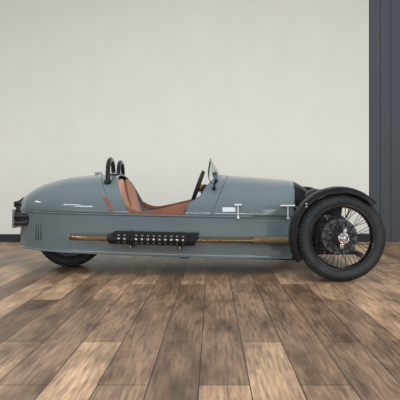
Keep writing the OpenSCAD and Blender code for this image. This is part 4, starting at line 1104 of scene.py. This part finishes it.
def lamp_brackets():
    """Black plate on the tub behind each pair of tail lamps, with four screws."""
    rear_x, length, thick, rim = -1.470, 0.105, 0.010, 0.004
    plates = []
    screws = []
    for side in (1, -1):
        rings = []
        for f in (k / 12 for k in range(13)):
            x = rear_x + length * f
            low, high = 0.398 + 0.010 * f, 0.508 - 0.022 * f
            outline = ((GAP, low), (thick, low + rim), (thick, high - rim), (GAP, high))
            rings.append([Vector((x, side * (half_w(x) + y), z)) for y, z in outline])
        plates.append(solid(rings))
        out = Vector((-0.5, side, 0)).normalized()
        for x, z in ((-1.424, 0.440), (-1.424, 0.484), (-1.386, 0.440), (-1.386, 0.484)):
            seat = Vector((x, side * (half_w(x) + 0.008), z))
            screws.append(screw(seat, out, 0.005, 0.007, 0.006, 0.003, 14))
    bevel(add_mesh("lamp_brackets", join_parts(plates), GLOSS_BLACK, "body"), 0.002)
    add_mesh("bracket_screws", join_parts(screws), CHROME, "body")


def mirrors():
    """A bluish band painted on each mirror's shell stands in for the reflection in its glass."""
    x, t = 0.255, 35.5
    z = (skin_out(x, t, GAP) + 0.076 * skin_n(x, t)).z
    band = [("Z", "GREATER_THAN", z + 0.022), ("Z", "LESS_THAN", z + 0.064)]
    smooth_node("mirrors", masked_mat("mirror_shell_painted_reflection", BLACK_FINISH, ((0.07, 0.12, 0.20), 0.12, 0.2), band))


fittings()
lips()
screen_rims()
lamp_brackets()
steering_boss()
mirrors()

# Room
ROOM_H, ROOM_X, NEAR_Y = 4.2, 7, -6.5
WALL_Y, PANEL_X, BOARD = 1.92, 2.334, 0.14


def stage_plane(name, corners, mat):
    mesh = bpy.data.meshes.new(name)
    mesh.from_pydata(corners, [], [(0, 1, 2, 3)])
    mesh.materials.append(mat)
    obj = linked(name, mesh)


def upright(name, x0, x1, y, height, mat):
    stage_plane(name, [(x0, y, 0), (x1, y, 0), (x1, y, height), (x0, y, height)], mat)


def floor_mat():
    mat, tree, b = new_mat("plank_floor")
    v = coords(tree, rot=(0, 0, radians(90)))
    brick = node(tree, "ShaderNodeTexBrick", Vector=v, Scale=1.0, Color1=grey(0.0), Color2=grey(1.0),
                 Mortar=grey(0.5), Mortar_Size=0.0022, Brick_Width=1.35, Row_Height=0.19, offset=0.37)
    tone = ramp(tree, brick.outputs["Color"], [(0.0, (0.105, 0.065, 0.039)), (0.35, (0.400, 0.268, 0.168)),
                                               (0.7, (0.190, 0.127, 0.081)), (1.0, (0.450, 0.310, 0.198))])
    grain = noise(tree, coords(tree, (16, 1.1, 1)), 4.5, 8, 0.68)
    knots = noise(tree, coords(tree, (3.0, 1.0, 1)), 2.4, 5, 0.6)
    dark = ramp(tree, grain, [(0.30, (0.30, 0.28, 0.27)), (0.62, (1.15, 1.12, 1.1))])
    cloud = ramp(tree, knots, [(0.32, (0.42, 0.40, 0.40)), (0.60, grey(1.1))])
    colour = times(tree, times(tree, tone, dark), cloud)
    gap = mix(tree, brick.outputs["Fac"], colour, (0.012, 0.007, 0.004))
    fill(tree, b, Base_Color=gap, Roughness=ramp(tree, grain, [(0.2, grey(0.30)), (0.8, grey(0.46))]))
    first = bump(tree, b, grain, 0.12, 0.002)
    bump(tree, b, math_node(tree, "SUBTRACT", 1.0, brick.outputs["Fac"]), 0.4, 0.002, first)
    return mat


def flat_mat(name, colour, rough, top=1.0):
    """Plain finish for the room, darkened by top towards the ceiling as painted shade, and clear from
    behind.
    """
    mat, tree, b = new_mat(name)
    v = coords(tree)
    tone = ramp(tree, noise(tree, v, 3.0, 4), [(0.3, scaled(colour, 0.96)), (0.7, colour)])
    height = math_node(tree, "DIVIDE", along(tree, v, "Z"), ROOM_H)
    # painted shade: darker towards the top of the wall
    ceiling_shade = ramp(tree, height, [(0.30, grey(1)), (0.75, grey(top))])
    fill(tree, b, Base_Color=times(tree, tone, ceiling_shade), Roughness=rough)
    bump(tree, b, noise(tree, v, 180, 3), 0.05, 0.001)
    behind = node(tree, "ShaderNodeNewGeometry").outputs["Backfacing"]
    shader_mix(tree, behind, b, node(tree, "ShaderNodeBsdfTransparent"))
    return mat


def room():
    stage_plane("floor_stage", [(-ROOM_X, NEAR_Y, 0), (ROOM_X, NEAR_Y, 0), (ROOM_X, WALL_Y, 0),
                                (-ROOM_X, WALL_Y, 0)], floor_mat())
    cream = flat_mat("cream_wall", (0.645, 0.644, 0.597), 0.8, 0.76)
    upright("wall_stage", -ROOM_X, PANEL_X, WALL_Y, ROOM_H, cream)
    slate = flat_mat("slate_boards", (0.055, 0.066, 0.080), 0.5)
    skirt = flat_mat("dark_skirting", (0.020, 0.023, 0.025), 0.5)
    upright("skirting_stage", -ROOM_X, PANEL_X, WALL_Y - 0.02, 0.105, skirt)
    for k in range(16):
        x0 = PANEL_X + k * BOARD
        upright("board_stage_%02d" % k, x0 + 0.004, x0 + BOARD - 0.004, WALL_Y - 0.03, ROOM_H, slate)
    dark = flat_mat("board_gap", (0.012, 0.014, 0.017), 0.8)
    upright("board_back_stage", PANEL_X, ROOM_X, WALL_Y, ROOM_H, dark)


# Camera and light
PHOTO_PX, FOCAL_PX, VANISH_X, VANISH_Y, SENSOR = 400, 481, 212, 186, 36


def camera():
    data = bpy.data.cameras.new("camera")
    obj = linked("camera", data)
    obj.location = (0.2385, -4.5, 0.745)
    obj.rotation_euler = (pi / 2, 0, 0)
    data.sensor_width = SENSOR
    data.lens = FOCAL_PX / PHOTO_PX * SENSOR
    data.shift_x = (PHOTO_PX / 2 - VANISH_X) / PHOTO_PX
    data.shift_y = (VANISH_Y - PHOTO_PX / 2) / PHOTO_PX
    bpy.context.scene.camera = obj


def area(name, spot, target, size, power, colour, shown=True):
    """A lamp or a window; shown says whether it can be seen in reflections."""
    data = bpy.data.lights.new(name, "AREA")
    data.shape = "RECTANGLE"
    data.size, data.size_y = size
    data.energy = power
    data.color = colour
    obj = linked(name, data)
    obj.location = spot
    obj.rotation_euler = (Vector(target) - Vector(spot)).to_track_quat("-Z", "Y").to_euler()
    obj.visible_glossy = shown


def sky():
    """Soft light from all round, stronger from above and weaker in reflections."""
    world = bpy.data.worlds.new("room")
    world.use_nodes = True
    tree = world.node_tree
    way = node(tree, "ShaderNodeTexCoord").outputs["Generated"]
    shade = ramp(tree, math_node(tree, "MULTIPLY_ADD", along(tree, way, "Z"), 0.5, 0.5), [
        (0.45, (0.30, 0.31, 0.33)), (0.56, (0.55, 0.57, 0.59)), (0.75, (0.86, 0.87, 0.87)),
        (1.0, (0.98, 0.98, 0.96))])
    glossy = node(tree, "ShaderNodeLightPath").outputs["Is Glossy Ray"]
    level = math_node(tree, "MULTIPLY_ADD", glossy, -1.02, 1.40)
    fill(tree, tree.nodes["Background"], Color=shade, Strength=level)
    return world


room()
camera()
area("rear_lamp", (-3.9, -5.0, 2.3), (-1.9, 0, 0.4), (0.75, 0.07), 9, (1, 0.97, 0.92))
area("side_lamp", (-5.2, -0.7, 2.0), (-1.3, -0.3, 0.6), (0.9, 0.07), 7, (1, 0.98, 0.95))
area("rear_window", (-3.6, -5.6, 1.9), (-1.8, 0, 0.4), (0.7, 0.22), 9, (0.80, 0.90, 1))
area("front_window", (3.4, -5.0, 1.3), (1.2, -0.5, 0.5), (1.6, 0.9), 14, (0.80, 0.90, 1))
area("front_soft", (1.7, -5.4, 3.6), (0.6, 0.4, 0.6), (7.0, 2.4), 128, (0.97, 0.985, 1), False)
area("ceiling_soft", (0.6, -2.2, 4.2), (0.6, -0.5, 0), (5.0, 2.0), 105, (1, 0.99, 0.97), False)
area("pipe_glow", (-0.2, -6.0, 0.62), (-0.2, 0, 0.32), (8.0, 0.11), 28, (1, 0.98, 0.95))
scene = bpy.context.scene
scene.world = sky()
scene.view_settings.view_transform = "Standard"
scene.render.resolution_x = scene.render.resolution_y = PHOTO_PX
